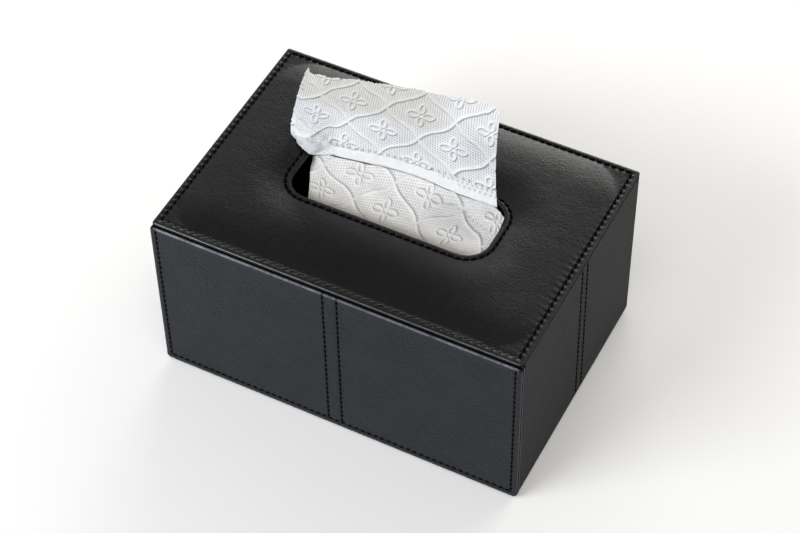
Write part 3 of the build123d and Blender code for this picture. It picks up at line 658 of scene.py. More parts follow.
F_ROW_X, F_ROW_Z = 112.0, 6.4
SEAMS = (-5.4, 3.4)
fxs = spread(-FX, FX, 1.0, 0.26, (-FX, -F_ROW_X, *SEAMS, F_ROW_X, FX), 1.6)
fzs = spread(FZ0, FZ1, 0.85, 0.26, (FZ0, F_ROW_Z, FZ1), 1.6)


def edge_fine(arr, lo, hi):
    """Adds samples close to both ends, for the rounded edge."""
    extra = np.array([0.03, 0.09, 0.18])
    return np.unique(np.round(np.concatenate([arr, lo + extra, hi - extra]), 4))


fxs, fzs = edge_fine(fxs, -FX, FX), edge_fine(fzs, FZ0, FZ1)
FZC, FZH = (FZ0 + FZ1) / 2, (FZ1 - FZ0) / 2
R_LOW, R_TOPC = 3.0, 1.6


def front_warp(x, z, k=0.0):
    """Grid point to a point in the rounded outline, inset by k."""
    r = np.where(z < FZC, R_LOW, R_TOPC)
    rk = np.maximum(r - k, 0.3)
    ax, ab = FX - r, FZH - r
    sx, sz = np.sign(x), np.sign(z - FZC)
    u, w = np.abs(x) - ax, np.abs(z - FZC) - ab
    px = np.where(u <= 0, np.abs(x) * (FX - k - rk) / ax, FX - k - rk)
    pz = np.where(w <= 0, np.abs(z - FZC) * (FZH - k - rk) / ab, FZH - k - rk)
    u2, w2 = np.maximum(u, 0) * rk / r, np.maximum(w, 0) * rk / r
    m, mn = np.maximum(u2, w2), np.minimum(u2, w2)
    ang = np.where(m > 0, mn / np.maximum(m, 1e-9) * math.pi / 4, 0)
    ang = np.where(w2 > u2, math.pi / 2 - ang, ang)
    both = (u2 > 0) & (w2 > 0)
    qx = np.where(both, m * np.cos(ang), u2)
    qz = np.where(both, m * np.sin(ang), w2)
    return sx * (px + qx), FZC + sz * (pz + qz)


gx, gz = np.meshgrid(fxs, fzs, indexing="ij")
wx, wz = front_warp(gx, gz)
r_at = np.where(wz < FZC, R_LOW, R_TOPC)
fd = -sd_rr(wx, wz, 0, FZC, FX, FZH, r_at)
R_EDGE = 0.95 + 0.15 * smooth01((wz - 112.0) / 5.0)
t = np.clip(R_EDGE - np.clip(fd, 0, None), 0, None)
fy = Y_FRONT + R_EDGE - np.sqrt(np.clip(R_EDGE ** 2 - t ** 2, 0, None))
# border roll, stitch grooves, seams, needle holes
zs_col, pz_col, _ = spaced(F_ROW_Z, 116.2, 4.2)
xs_col, pxf, _ = spaced(-F_ROW_X, F_ROW_X, 4.2)
low = np.abs(wz - F_ROW_Z)
side = np.abs(np.abs(wx) - F_ROW_X)
col_on = (wz > F_ROW_Z - 0.3)
fy += 0.28 * gauss(side, 0.46) * col_on + 0.28 * gauss(low, 0.46) * (np.abs(wx) < F_ROW_X + 0.3)
fy -= 0.12 * gauss(np.abs(wx) - (F_ROW_X + 1.9), 0.9) + 0.12 * gauss(wz - (F_ROW_Z - 2.0), 0.9)
fy += 0.26 * hole_dent(wz, F_ROW_Z, pz_col, side, 0.5) * col_on
fy += 0.26 * hole_dent(wx, -F_ROW_X, pxf, wz - F_ROW_Z, 0.5) * (np.abs(wx) < F_ROW_X + 0.3)
for xs0 in SEAMS:
    g = wx - xs0
    fy += 0.34 * gauss(g, 0.50) + 0.24 * hole_dent(wz, F_ROW_Z, pz_col, g, 0.5)
fy -= 0.10 * gauss(wx - sum(SEAMS) / 2, 2.4)
fy += 0.07 * fbm(wx, wz, 34.0, 2, 8) * smooth01((fd - 2) / 8)
fy = np.minimum(fy, np.where(fd > 0.9, -79.70, fy))
# the seams notch the rounded top edge
notch = sum(gauss(wx - s, 0.55) for s in SEAMS)
wz2 = wz - 0.20 * notch * smooth01((wz - 114.5) / 3.0)
front = np.stack([wx, fy, wz2], -1)
# painted highlight: the rounded top edge is lighter in a streaked line that fades to the right, with a faint line down
# each side edge
top_d, side_d = FZ1 - wz, FX - np.abs(wx)
streak = 0.80 + 0.30 * vnoise(wx, wz, 1.1, 62) + 0.25 * vnoise(wx, wz * 0, 9.0, 64)
fall = 0.62 + 0.38 * smooth01((20 - wx) / 120) + 0.12 * smooth01((wx - 50) / 40)
f_highlight = (1.15 * gauss(top_d - 0.42, 0.30) + 0.085 * np.exp(-top_d / 1.9)) * fall * streak * smooth01((side_d - 1.0) / 4.0)
f_highlight += 0.16 * gauss(side_d - 0.10, 0.16) * smooth01((wz - 8) / 8) * streak
f_highlight = np.clip(f_highlight * (1 - 0.9 * np.clip(notch, 0, 1) * (top_d < 4)), 0, 1)

nx_, nz_ = len(fxs), len(fzs)
rim_i = ([(i, 0) for i in range(nx_)] + [(nx_ - 1, j) for j in range(1, nz_)] + [(i, nz_ - 1) for i in range(nx_ - 2, -1, -1)] + [(0, j) for j in range(nz_ - 2, 0, -1)])
ri, rj = np.array(rim_i).T
rim_x, rim_z = gx[ri, rj], gz[ri, rj]
levels = []
for y_, k_ in ((-78.35, 0.0), (-77.6, 0.0), (-76.75, 0.0), (-76.42, 0.10), (-76.26, 0.30), (FY_IN, 0.65), (FY_IN, 3.0), (FY_IN + 0.02, 6.5), (FY_IN, 10.4), (-76.55, 10.55)):
    qx, qz = front_warp(rim_x, rim_z, k_)
    if k_ < 0.2:
        qz = qz - 0.20 * sum(gauss(qx - s, 0.55) for s in SEAMS) * (rim_z > 117) * (1 - smooth01((y_ + 78.5) / 1.5))
    levels.append(np.stack([qx, np.full(len(qx), y_), qz], -1))
nr = len(ri)
verts = [front.reshape(-1, 3)] + levels
faces = [grid_faces(nx_, nz_)]
flat_idx = ri * nz_ + rj
prev = flat_idx
count = nx_ * nz_
rings_idx = []
for L in levels:
    cur = count + np.arange(nr)
    faces.append(np.stack([prev, cur, np.roll(cur, -1), np.roll(prev, -1)], -1))
    prev = cur
    count += nr
allv, allf = np.concatenate(verts), np.concatenate(faces)
# the first rim ring carries the painted highlight on along the top edge
front_obj = mesh_object("drawer_front_leather", allv, allf, "drawer", FRONT,
                        attrs={"edge_highlight": np.concatenate([f_highlight.ravel(), np.clip(0.30 * (rim_z > FZ1 - 0.5) * (0.7 + 0.5 * vnoise(rim_x, rim_z, 1.5, 63)), 0, 1), np.zeros(nr * (len(levels) - 1))])})
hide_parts("drawer_front_cover")

# black paint on the cut edge between the front's outer and inner leather, also painted shade for the dark gap beside
# the side walls
band_out = np.stack([np.stack([front_warp(rim_x, rim_z, k_)[0], np.full(nr, y_), front_warp(rim_x, rim_z, k_)[1]], -1) for y_, k_ in ((-79.12, 0.03), (-79.0, -0.03), (-77.95, -0.03), (-77.83, 0.03))], 1)
band_in = np.stack([np.stack([front_warp(rim_x, rim_z, 0.15)[0], np.full(nr, y_), front_warp(rim_x, rim_z, 0.15)[1]], -1) for y_ in (-79.12, -79.0, -77.95, -77.83)], 1)
bv, bf = closed_shell(band_out, band_in, nr, 4, True)
mesh_object("drawer_edge_paint_gap_shade", bv, bf[:, ::-1], "drawer", EDGE_PAINT_SHADE)

fr_n = (0, -1, 0)
def col_run(x, zs, n=1.0):
    c = [(x, Y_FRONT + 0.10, z) for z in zs]
    return (c, [(0, 0, 1)] * len(c), [fr_n] * len(c), 2.5, 0.43, 8, 0.20)
cb = [(x, Y_FRONT + 0.10, F_ROW_Z) for x in xs_col]
stitch_set("drawer_border_stitches", [col_run(-F_ROW_X, zs_col), col_run(F_ROW_X, zs_col), (cb, [(1, 0, 0)] * len(cb), [fr_n] * len(cb), 2.5, 0.43, 8, 0.20)],
           "drawer", THREAD, ("drawer_border_thread",))
stitch_set("drawer_seam_stitches", [col_run(SEAMS[0], zs_col), col_run(SEAMS[1], zs_col)], "drawer", THREAD, ("drawer_seam_thread",))


# ================================================================== the sleeve's leather
def side_seams(z, first=True):
    """Where the side walls' two stitch rows stand: they lean a little."""
    return (0.8 + (105.0 - z) * 0.0215) if first else (7.8 + (105.0 - z) * 0.028)


BACK_SEAMS = (-4.4, 4.4)
path = [(-LX, Y_WALL_FRONT + 0.5), (-LX, Y_WALL_FRONT + 0.12), (-LX - 0.5, Y_WALL_FRONT + 0.02)]
path += [(x, Y_WALL_FRONT) for x in np.linspace(-LX - 0.9, -OX + 0.7, 6)]
arc = lambda cx, cy, r, a0, a1, n: [(cx + r * math.cos(math.radians(a)), cy + r * math.sin(math.radians(a))) for a in np.linspace(a0, a1, n)]
path += arc(-OX + 0.6, Y_WALL_FRONT + 0.6, 0.6, 262, 184, 5)
ys_side = spread(Y_WALL_FRONT + 0.6, Y_BACK - 1.6, 1.15, 0.3, (1.8, 9.3), 3.0)
path += [(-OX, y) for y in ys_side]
path += arc(-OX + 1.5, Y_BACK - 1.5, 1.5, 176, 94, 8)
xs_back = spread(-OX + 1.6, OX - 1.6, 1.3, 0.3, BACK_SEAMS, 1.6)
path += [(x, Y_BACK) for x in xs_back]
path += arc(OX - 1.5, Y_BACK - 1.5, 1.5, 86, 4, 8)
path += [(OX, y) for y in ys_side[::-1]]
path += arc(OX - 0.6, Y_WALL_FRONT + 0.6, 0.6, -4, -82, 5)
path += [(x, Y_WALL_FRONT) for x in np.linspace(OX - 0.7, LX + 0.9, 6)]
path += [(LX + 0.5, Y_WALL_FRONT + 0.02), (LX, Y_WALL_FRONT + 0.12), (LX, Y_WALL_FRONT + 0.5)]
path = np.array(path)
tan = np.gradient(path, axis=0)
tan /= np.linalg.norm(tan, axis=1, keepdims=True)
nrm = np.stack([-tan[:, 1], tan[:, 0]], -1)      # outward: the path runs clockwise seen from above
wrap_in = smooth01((np.abs(path[:, 0]) - (LX + 0.3)) / 1.0)[:, None] * 0.9 + 0.1
wrap_in = np.where((path[:, 1] > Y_WALL_FRONT + 1.0)[:, None], 1.0, wrap_in)
zrow = [(2.0, Z_SEAT + 0.01), (1.0, Z_SEAT), (0.5, Z_SEAT + 0.03), (0.2, Z_SEAT + 0.16), (0.04, Z_SEAT + 0.40)]
zrow += [(0.0, z) for z in spread(Z_SEAT + 0.75, Z_WALL_TOP - 0.95, 1.05, 0.35, (Z_SEAT, Z_WALL_TOP), 1.2)]
zrow += [(0.04, Z_WALL_TOP - 0.55), (0.16, Z_WALL_TOP - 0.28), (0.38, Z_WALL_TOP - 0.09), (0.75, Z_WALL_TOP), (1.5, Z_WALL_TOP + 0.01)]
off = np.array([a for a, _ in zrow])[None, :, None]
zz = np.array([z for _, z in zrow])
wall = np.zeros((len(path), len(zrow), 3))
wall[..., :2] = path[:, None] - nrm[:, None] * off * wrap_in[:, None]
wall[..., 2] = zz[None]
Z_S0, Z_S1 = 4.0, 115.4
zs_side, pz_side, _ = spaced(Z_S0, Z_S1, 4.2)
X_, Y_, Z_ = wall[..., 0], wall[..., 1], wall[..., 2]
on = smooth01((Z_ - 2.5) / 1.0) * smooth01((116.9 - Z_) / 0.8)
push = np.zeros_like(X_)
flank = (np.abs(X_) > OX - 0.05)
for first in (True, False):
    g = Y_ - side_seams(Z_, first)
    push += np.where(flank, (0.30 * gauss(g, 0.55) + 0.30 * hole_dent(Z_, Z_S0, pz_side, g, 0.5)) * on, 0)
rear = (Y_ > Y_BACK - 0.05)
for xb in BACK_SEAMS:
    g = X_ - xb
    push += np.where(rear, (0.30 * gauss(g, 0.55) + 0.30 * hole_dent(Z_, Z_S0, pz_side, g, 0.5)) * on, 0)
push = np.minimum(push + 0.05 * (fbm(Y_ + 3 * X_, Z_, 30.0, 2, 5) + 0.4) * on, 0.49)
wall[..., 0] -= nrm[:, None, 0] * push
wall[..., 1] -= nrm[:, None, 1] * push
inn = wall.copy()
inn[..., :2] = wall[..., :2] - nrm[:, None] * 0.3 * wrap_in[:, None]
inn[:, :5, 2] += 0.3 * (1 - np.linspace(0, 1, 5))[None]
inn[:, -5:, 2] -= 0.3 * np.linspace(0, 1, 5)[None]
v, f = closed_shell(wall, inn, wall.shape[0], wall.shape[1], False)
# painted highlight: the leather is lighter along its top edge, and a little along its bottom edge
w_highlight = np.zeros(wall.shape[:2])
w_highlight += 0.14 * np.exp(-np.clip(Z_WALL_TOP - Z_, 0, None) / 0.6) + 0.06 * np.exp(-np.clip(Z_ - Z_SEAT, 0, None) / 0.8)
sleeve = mesh_object("sleeve_leather", v, f[:, ::-1], "shell", WALL,
                     attrs={"edge_highlight": np.concatenate([w_highlight.ravel(), np.zeros(w_highlight.size)])})
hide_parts("wall_cover")

# black paint along the cut edge of the leather, where the side walls meet the drawer front; it also paints the shade
# of the gap there
gap_v, gap_f = [], []
for sign in (-1, 1):
    k = len(gap_v)
    gap_v += [(sign * x, y, z) for z in (2.6, 117.3) for x, y in ((114.2, -75.84), (114.75, -75.83), (115.0, -75.66), (115.05, -75.3), (115.05, -74.35), (114.2, -74.35))]
    ring = [(k + a, k + (a + 1) % 6, k + 6 + (a + 1) % 6, k + 6 + a) for a in range(6)]
    caps = [(k, k + 3, k + 2, k + 1), (k, k + 5, k + 4, k + 3), (k + 6, k + 7, k + 8, k + 9), (k + 6, k + 9, k + 10, k + 11)]
    gap_f += [f_ if sign > 0 else f_[::-1] for f_ in ring + caps]
mesh_object("wall_edge_paint_gap_shade", np.array(gap_v, float), np.array(gap_f), "shell", EDGE_PAINT_SHADE)


def wall_run(sign, first):
    c = [(sign * (OX - 0.12), side_seams(z, first), z) for z in zs_side]
    lean = np.array([0, -0.0215 if first else -0.028, 1.0])
    return (c, [lean / np.linalg.norm(lean)] * len(c), [(sign, 0, 0)] * len(c), 2.6, 0.47, 5, 0.20)


stitch_set("right_wall_stitches", [wall_run(1, True), wall_run(1, False)], "shell", THREAD, ("right_seam_thread",))
stitch_set("left_wall_stitches", [wall_run(-1, True), wall_run(-1, False)], "shell", THREAD, ("left_seam_thread",))
runs = []
for xb in BACK_SEAMS:
    c = [(xb, Y_BACK - 0.12, z) for z in zs_side]
    runs.append((c, [(0, 0, 1)] * len(c), [(0, 1, 0)] * len(c), 2.6, 0.47, 5, 0.20))
stitch_set("back_wall_stitches", runs, "shell", THREAD, ("back_seam_thread",))


# ================================================================== tissues
def curve(pts, n):
    p = np.array(pts, float)
    s = np.concatenate([[0], np.cumsum(np.linalg.norm(np.diff(p, axis=0), axis=1))])
    t = np.linspace(0, s[-1], n)
    return np.stack([np.interp(t, s, p[:, k]) for k in range(p.shape[1])], -1)


def relax(p, times):
    for _ in range(times):
        q = p.copy()
        q[1:-1] = 0.25 * p[:-2] + 0.5 * p[1:-1] + 0.25 * p[2:]
        p = q
    return p


LATTICE_U, LATTICE_V = 45.0, 34.0    # width and height of one diamond, mm


def motif(u, v):
    """A plain lattice of softly waved lines with a four-petalled figure in each diamond. Gives (ridge height 0..1, how clear of pits 0..1)."""
    ridge, clear = np.zeros_like(u), np.zeros_like(u)

    def line(dist, width=0.62):
        nonlocal ridge, clear
        ridge = np.maximum(ridge, gauss(dist, width))
        clear = np.maximum(clear, gauss(dist, 1.05))

    a, b = (u + 6.0) / LATTICE_U + v / LATTICE_V, (u + 6.0) / LATTICE_U - v / LATTICE_V
    steep = math.hypot(1 / LATTICE_U, 1 / LATTICE_V)
    for along, across in ((a, b), (b, a)):
        w = along + 0.045 * np.sin(2 * math.pi * across)
        line((w - np.round(w)) / steep)
    am, bm = np.floor(a) + 0.5, np.floor(b) + 0.5
    du, dv = u + 6.0 - 0.5 * LATTICE_U * (am + bm), v - 0.5 * LATTICE_V * (am - bm)
    for cu, cv, ru, rv in ((5.0, 0.0, 3.6, 1.9), (-5.0, 0.0, 3.6, 1.9), (0.0, 4.2, 1.8, 2.9), (0.0, -4.2, 1.8, 2.9)):
        r = np.hypot((du - cu) / ru, (dv - cv) / rv)
        line((r - 1) * np.hypot(du - cu, dv - cv) / np.maximum(r, 1e-6), 0.46)
    return ridge, np.clip(clear, 0, 1)


def flank(ridge, u, v):
    """The far side of each ridge, turned away from the light: 0..1."""
    slope = 0.45 * np.gradient(ridge, axis=0) / np.gradient(u, axis=0) + 0.9 * np.gradient(ridge, axis=1) / np.gradient(v, axis=1)
    return np.clip(-slope * 1.15, 0, 1)


POP_TOP = [(-73.1, 32.3, 163.3), (-71.6, 31.4, 161.2), (-69.0, 31.2, 160.6), (-65.9, 31.6, 161.5), (-61.5, 31.9, 162.4), (-56.7, 31.9, 162.4), (-53.4, 32.6, 163.9),
           (-49.6, 32.9, 164.7), (-43.4, 33.2, 165.8), (-36.8, 33.7, 167.1), (-27.9, 34.3, 168.6), (-18.7, 34.9, 170.4), (-9.6, 35.5, 172.1), (-0.4, 36.0, 173.4),
           (7.2, 36.2, 174.2), (15.9, 36.9, 175.9), (25.1, 37.5, 177.3), (32.8, 37.6, 178.0), (40.4, 37.7, 178.3), (46.8, 37.7, 178.3)]
POP_RIGHT = [(53.7, 18.5, 120.8), (52.4, 20.2, 126.0), (51.1, 22.0, 131.4), (49.7, 24.4, 138.8), (48.5, 26.7, 146.2), (47.6, 28.9, 152.9), (46.8, 31.2, 159.7),
             (46.3, 33.3, 165.8), (46.1, 35.0, 170.5), (46.3, 36.5, 174.7), (46.8, 37.7, 178.3)]
POP_LEFT = [(-77.2, 15.2, 122.9), (-78.4, 17.6, 125.3), (-78.8, 20.3, 130.7), (-78.4, 23.3, 137.9), (-77.6, 25.9, 144.8), (-76.5, 28.2, 151.3), (-75.5, 29.8, 156.0),
            (-74.5, 31.1, 160.0), (-73.1, 32.3, 163.3)]
POP_BOT = [(-77.2, 15.2, 122.9), (-75.6, 14.1, 122.9), (-72.8, 12.1, 122.7), (-68.5, 9.8, 122.6), (-63.9, 7.9, 122.2), (-59.3, 7.7, 120.6), (-56.7, 9.9, 121.3),
           (-54.8, 11.7, 121.9), (-52.6, 13.5, 122.3), (-51.5, 13.5, 121.2), (-50.3, 13.6, 120.3), (-48.1, 13.6, 119.9), (-43.8, 14.2, 120.1), (-38.3, 15.0, 120.2),
           (-32.4, 16.1, 120.3), (-25.0, 17.5, 120.7), (-18.0, 18.4, 121.1), (-10.0, 19.1, 121.4), (0.7, 19.5, 121.4), (8.4, 19.3, 121.2), (15.8, 18.6, 121.0),
           (23.6, 18.1, 121.0), (31.1, 17.6, 121.2), (40.4, 17.8, 120.8), (47.0, 18.0, 120.6), (53.7, 18.5, 120.8)]
BXS = [-82, -79, -77, -73.5, -68, -64, -60, -56, -51, -45, -41, -21, 4, 31, 42, 54, 60]
BYS = [15.5, 15.0, 14.0, 11.0, 7.6, 6.4, 7.4, 10.4, 13.8, 14.3, 14.8, 18.3, 19.6, 17.6, 18, 18.6, 18.6]


def pop_y(x, z):
    y0 = np.interp(x, BXS, BYS)
    t = z - 121.3
    return 19.6 + t * math.tan(math.radians(15.0)) + 0.0009 * t * t + (y0 - 19.6) * np.exp(-np.maximum(t, 0) / 10.0)


NU, NVP = 400, 180
top, bot = relax(curve(POP_TOP, NU), 3), relax(curve(POP_BOT, NU), 2)
left, right = relax(curve(POP_LEFT, NVP), 4), relax(curve(POP_RIGHT, NVP), 4)
# torn top edge: small nibbles
xt = np.linspace(0, 133, NU)
top[:, 2] += 0.42 * vnoise(xt, xt * 0, 1.3, 31) + 0.40 * vnoise(xt, xt * 0, 3.7, 33)
s = np.linspace(0, 1, NU)[:, None, None]
t = np.linspace(0, 1, NVP)[None, :, None]
P = ((1 - t) * bot[:, None] + t * top[:, None] + (1 - s) * left[None] + s * right[None]
     - ((1 - s) * (1 - t) * bot[0] + s * (1 - t) * bot[-1] + (1 - s) * t * top[0] + s * t * top[-1]))
P[..., 1] = pop_y(P[..., 0], P[..., 2])
U = np.broadcast_to(np.linspace(0, 133, NU)[:, None], (NU, NVP)).copy()
V = np.broadcast_to(np.linspace(61, 0, NVP)[None, :], (NU, NVP)).copy()
X0, Z0 = P[..., 0].copy(), P[..., 2].copy()
# soft buckles of the whole sheet
P[..., 1] += 0.55 * fbm(U, V, 30, 2, 40) * smooth01((61 - V) / 12) - 0.7 * gauss(X0 - (-8 + 0.25 * (Z0 - 121)), 11) * smooth01((Z0 - 135) / 20)
P[..., 1] += 0.35 * np.sin(X0 / 6.2 + 0.05 * Z0) * smooth01((Z0 - 160) / 14)
# the lower left corner is crumpled: a crease stands out and the corner tucks in under it
crease_z = np.interp(X0, [-79, -75.6, -69.5, -64.3, -59.5, -56.1, -53.0, -50.5], [123.6, 124.2, 125.4, 126.6, 127.2, 126.0, 124.2, 123.0])
bottom_z = np.interp(X0, bot[:, 0], bot[:, 2])
dz = Z0 - crease_z
w = np.where(dz > 0, np.exp(-(np.maximum(dz, 0) / 8.0) ** 1.6), np.clip(1 + dz / np.maximum(crease_z - bottom_z, 1.0), 0, 1))
ax = smooth01((X0 + 80.5) / 8.0) * smooth01((-46.0 - X0) / 15.0)
P += (5.5 * w * ax)[..., None] * np.array([0.308, -0.580, 0.755])
zone = ax * np.exp(-(dz / 8.0) ** 2)
P[..., 1] += zone * (1.1 * fbm(U, V, 4.6, 2, 44) + 0.5 * vnoise(U, V, 2.0, 47))
P[..., 2] += zone * 0.5 * vnoise(U, V, 3.1, 49) * smooth01((61 - V) / 3)
tuck = ax * smooth01(-dz / 1.6) * (dz < 0)
n = grid_normals(P)
if n[NU // 2, NVP // 2, 1] > 0:
    n = -n
ridge, clear = motif(U, V)
# a plain hem along the lower edge, with a row of larger pits above it
hem_v = 53.2 - 1.6 * smooth01((U - 85) / 40)
hem = smooth01((V - hem_v) / 0.8)
band = np.zeros_like(U)
for dv, pitch, size, lo in ((-0.9, 3.9, 0.62, 28.0), (1.4, 3.0, 0.50, 96.0), (3.7, 3.2, 0.50, 108.0)):
    uu = U - (pitch / 2 if dv > 1 else 0.0)
    uu = uu - np.round(uu / pitch) * pitch
    band = np.maximum(band, np.exp(-(uu ** 2 + (V - hem_v - dv) ** 2) / (2 * size ** 2)) * smooth01((U - lo) / 3.0))
height = 0.72 * ridge * (1 - hem) - 0.60 * band + 0.16 * hem * fbm(U, V, 3.0, 2, 51)
P = P + n * height[..., None]
side_ = flank(ridge, U, V) * (1 - hem)
glow = lambda cu, cv, su, sv: np.exp(-((U - cu) / su) ** 2 - ((V - cv) / sv) ** 2)
soft_shade = 0.30 * glow(9, 37, 13, 9) + 0.20 * glow(75, 37, 24, 9) + 0.30 * glow(122, 31, 14, 10)
shade = np.clip(0.95 * side_ + 0.85 * band + 0.45 * tuck + soft_shade * (1 - hem), 0, 1)
# painted warm shade over the upper part of the sheet, less to the right
warm_shade = 0.60 * smooth01((36 - V) / 18) * (1 - 0.85 * smooth01((U - 84) / 28))
plain = np.clip(np.maximum(clear, hem), 0, 1)
ribs = smooth01((26 - V) / 14.0) * 0.8

# the part that goes down into the slot, folded to and fro behind the next sheet
rows, rs = [], np.linspace(0, 1, NU)
tail_x = -50.0 + 102.0 * rs
b0 = P[:, 0].copy()
for k in np.linspace(0, 1, 9)[1:]:
    w = float(smooth01(np.array(k)))
    x = b0[:, 0] * (1 - w) + tail_x * w
    y = b0[:, 1] * (1 - w) + 19.3 * w
    z = b0[:, 2] * (1 - w) + 120.6 * w - 0.7 * math.sin(math.pi * k) * smooth01((b0[:, 0] + 60) / 12)
    rows.append(np.stack([x, y, z], -1))
for layer, yy in enumerate((19.3, 19.95, 20.6, 21.25)):
    za, zb = (120.0, 90.6) if layer == 0 else ((91.0, 116.8) if layer % 2 else (116.4, 90.8))
    for k in np.linspace(0, 1, 13):
        z = za + (zb - za) * k
        rows.append(np.stack([tail_x + 0.4 * np.sin(rs * 7 + layer), np.full(NU, yy) + 0.12 * np.sin(rs * 40 + layer * 2 + z * 0.1), np.full(NU, z)], -1))
tail = np.stack(rows, 1)
down = np.concatenate([[0], np.cumsum(np.linalg.norm(np.diff(tail.mean(0), axis=0), axis=1))]) + 61.5
pop = np.concatenate([tail[:, ::-1], P], 1)
wide = lambda a, fill=0.0: np.concatenate([np.full(tail.shape[:2], fill), a], 1)
uv_u = np.broadcast_to(np.linspace(0, 1, NU)[:, None], pop.shape[:2])
uv_v = np.broadcast_to(np.concatenate([down[::-1], V[0]])[None] / 195.0, pop.shape[:2])
popup = mesh_object("popup_tissue", pop, grid_faces(pop.shape[0], pop.shape[1]), "popup_sheet", TISSUE,
                    attrs={"plain": wide(plain), "ribs": wide(ribs), "shade": wide(shade), "warm_shade": wide(warm_shade)}, uv=np.stack([uv_u, uv_v], -1))
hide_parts("tissue_popup_sheet")

# next sheet in the slot
NX2, NY2 = 320, 160
PROFILE = [(-20.3, 88.4), (-22.2, 94.0), (-22.6, 99.5), (-22.4, 106.4), (-20.6, 110.2), (-16.5, 112.0), (-9.0, 112.9), (0.0, 113.6), (6.0, 114.5), (10.5, 115.9),
           (13.6, 117.6), (15.4, 119.4)]
prof = relax(curve(PROFILE, NY2), 6)
TOP_EDGE = [(-61, 12.2, 114.4), (-59.2, 12.2, 116.2), (-57.3, 12.4, 117.9), (-55.5, 12.4, 119.0), (-52.0, 12.7, 120.0), (-49.5, 12.9, 119.5), (-44, 13.6, 119.4), (-38, 14.4, 119.7),
            (-30, 16.0, 120.0), (-20, 17.6, 120.5), (-10, 18.5, 120.9), (0, 19.0, 121.0), (10, 18.6, 120.8), (20, 17.8, 120.6), (31, 17.1, 120.7), (40, 17.4, 120.4), (47, 17.6, 120.4),
            (51, 18.2, 120.6), (54.4, 17.0, 120.5), (57.8, 14.9, 120.1), (61.3, 12.4, 119.4)]
te = np.array(TOP_EDGE)
ysn = prof[:, 0]
low_rows = np.arange(NY2) < 46
xl = np.interp(ysn, [-22, -20, -10, 0, 8, 14, 16], [-47.4, -47.8, -51.6, -55.8, -59.2, -61.0, -61.2])
xr = np.interp(ysn, [-22, -16, -10, -2, 0, 4, 11, 14, 16], [54.0, 56.5, 59.3, 60.6, 61.0, 61.5, 61.4, 61.2, 61.2])
xl, xr = np.where(low_rows, -47.6, xl), np.where(low_rows, 54.0, xr)
ss = np.linspace(0, 1, NX2)[:, None]
Q = np.zeros((NX2, NY2, 3))
Q[..., 0] = xl[None] * (1 - ss) + xr[None] * ss
ty, tz = np.interp(Q[..., 0], te[:, 0], te[:, 1]), np.interp(Q[..., 0], te[:, 0], te[:, 2])
rel = smooth01((np.arange(NY2) / (NY2 - 1.0) - 0.45) / 0.55)[None]
Q[..., 1] = ysn[None] + (ty - 15.4) * rel
Q[..., 2] = prof[None, :, 1] + (tz - 119.4) * rel
U2 = np.broadcast_to(np.linspace(8, 133, NX2)[:, None], (NX2, NY2)).copy()
V2 = np.broadcast_to(np.concatenate([[0], np.cumsum(np.linalg.norm(np.diff(prof, axis=0), axis=1))])[None], (NX2, NY2)).copy()
X2, Y2 = Q[..., 0].copy(), Q[..., 1].copy()
# a fold runs slantwise from behind the upper sheet to the slot's right end; behind it the sheet stands higher
fold_y = np.interp(X2, [-6, 2, 8, 17, 24, 31.5, 37, 42.6, 47.5, 52.4, 57.7, 62], [20.5, 17.6, 14.6, 12.6, 12.4, 11.8, 10.6, 8.8, 6.8, 4.8, 2.1, -0.6])
ahead = Y2 - fold_y
crisp = 0.5 + 2.2 * smooth01((30 - X2) / 26)
step = smooth01((ahead + crisp) / (2 * crisp)) * smooth01((X2 + 4) / 30)
Q[..., 2] += 1.7 * step * smooth01((20.5 - Y2) / 4) + 0.35 * gauss(ahead - 0.6, 0.7) * smooth01((X2 - 20) / 16)
Q[..., 2] -= 0.9 * gauss(ahead + 4.5, 4.0) * smooth01((X2 + 4) / 30)
Q[..., 2] += 1.5 * smooth01((X2 - 46) / 12) * smooth01((Y2 + 12) / 10) * smooth01((14 - Y2) / 6)
fold1 = gauss(Y2 - (11 - (X2 + 38) * 0.38), 3.2) * smooth01((X2 + 45) / 10) * smooth01((12 - X2) / 20)
fold2 = gauss((X2 + 22) + 0.35 * Y2, 2.6) * smooth01((Y2 + 14) / 10)
Q[..., 2] += 0.9 * fold1 - 0.5 * fold2 + 0.8 * fbm(X2, Y2, 22, 2, 60) * smooth01((Y2 + 20) / 8) + 0.2 * fbm(X2, Y2, 5, 2, 66)
Q[..., 2] = np.where(Y2 > -17, np.minimum(Q[..., 2], 120.9), Q[..., 2])
n2 = grid_normals(Q)
if n2[NX2 // 2, NY2 - 20, 2] < 0:
    n2 = -n2
ridge2, clear2 = motif(U2, V2 + 66.0)
Q = Q + n2 * (0.55 * ridge2)[..., None]
glow2 = lambda cx_, cy_, sx_, sy_: np.exp(-((U2 - cx_) / sx_) ** 2 - ((V2 + 66.0 - cy_) / sy_) ** 2)
valley = np.exp(-np.clip(-ahead, 0, None) / 6.5) * smooth01((0.5 - ahead) / 0.8) * smooth01((X2 - 2) / 26)
shade2 = np.clip(0.80 * flank(ridge2, U2, V2) + 0.10 * glow2(92, 112, 12, 8) + 0.24 * valley + 0.20 * gauss(ahead + 0.1, 0.45) * smooth01((X2 - 16) / 14)
                 + 0.20 * smooth01((X2 - 10) / 18) * smooth01((Y2 + 7) / 8) + 0.12 * smooth01((X2 - 44) / 8) * smooth01((Y2 - 6) / 6), 0, 1)
plain2 = np.clip(np.maximum(clear2, 0.22 + 0.22 * smooth01((U2 - 70) / 30)), 0, 1)
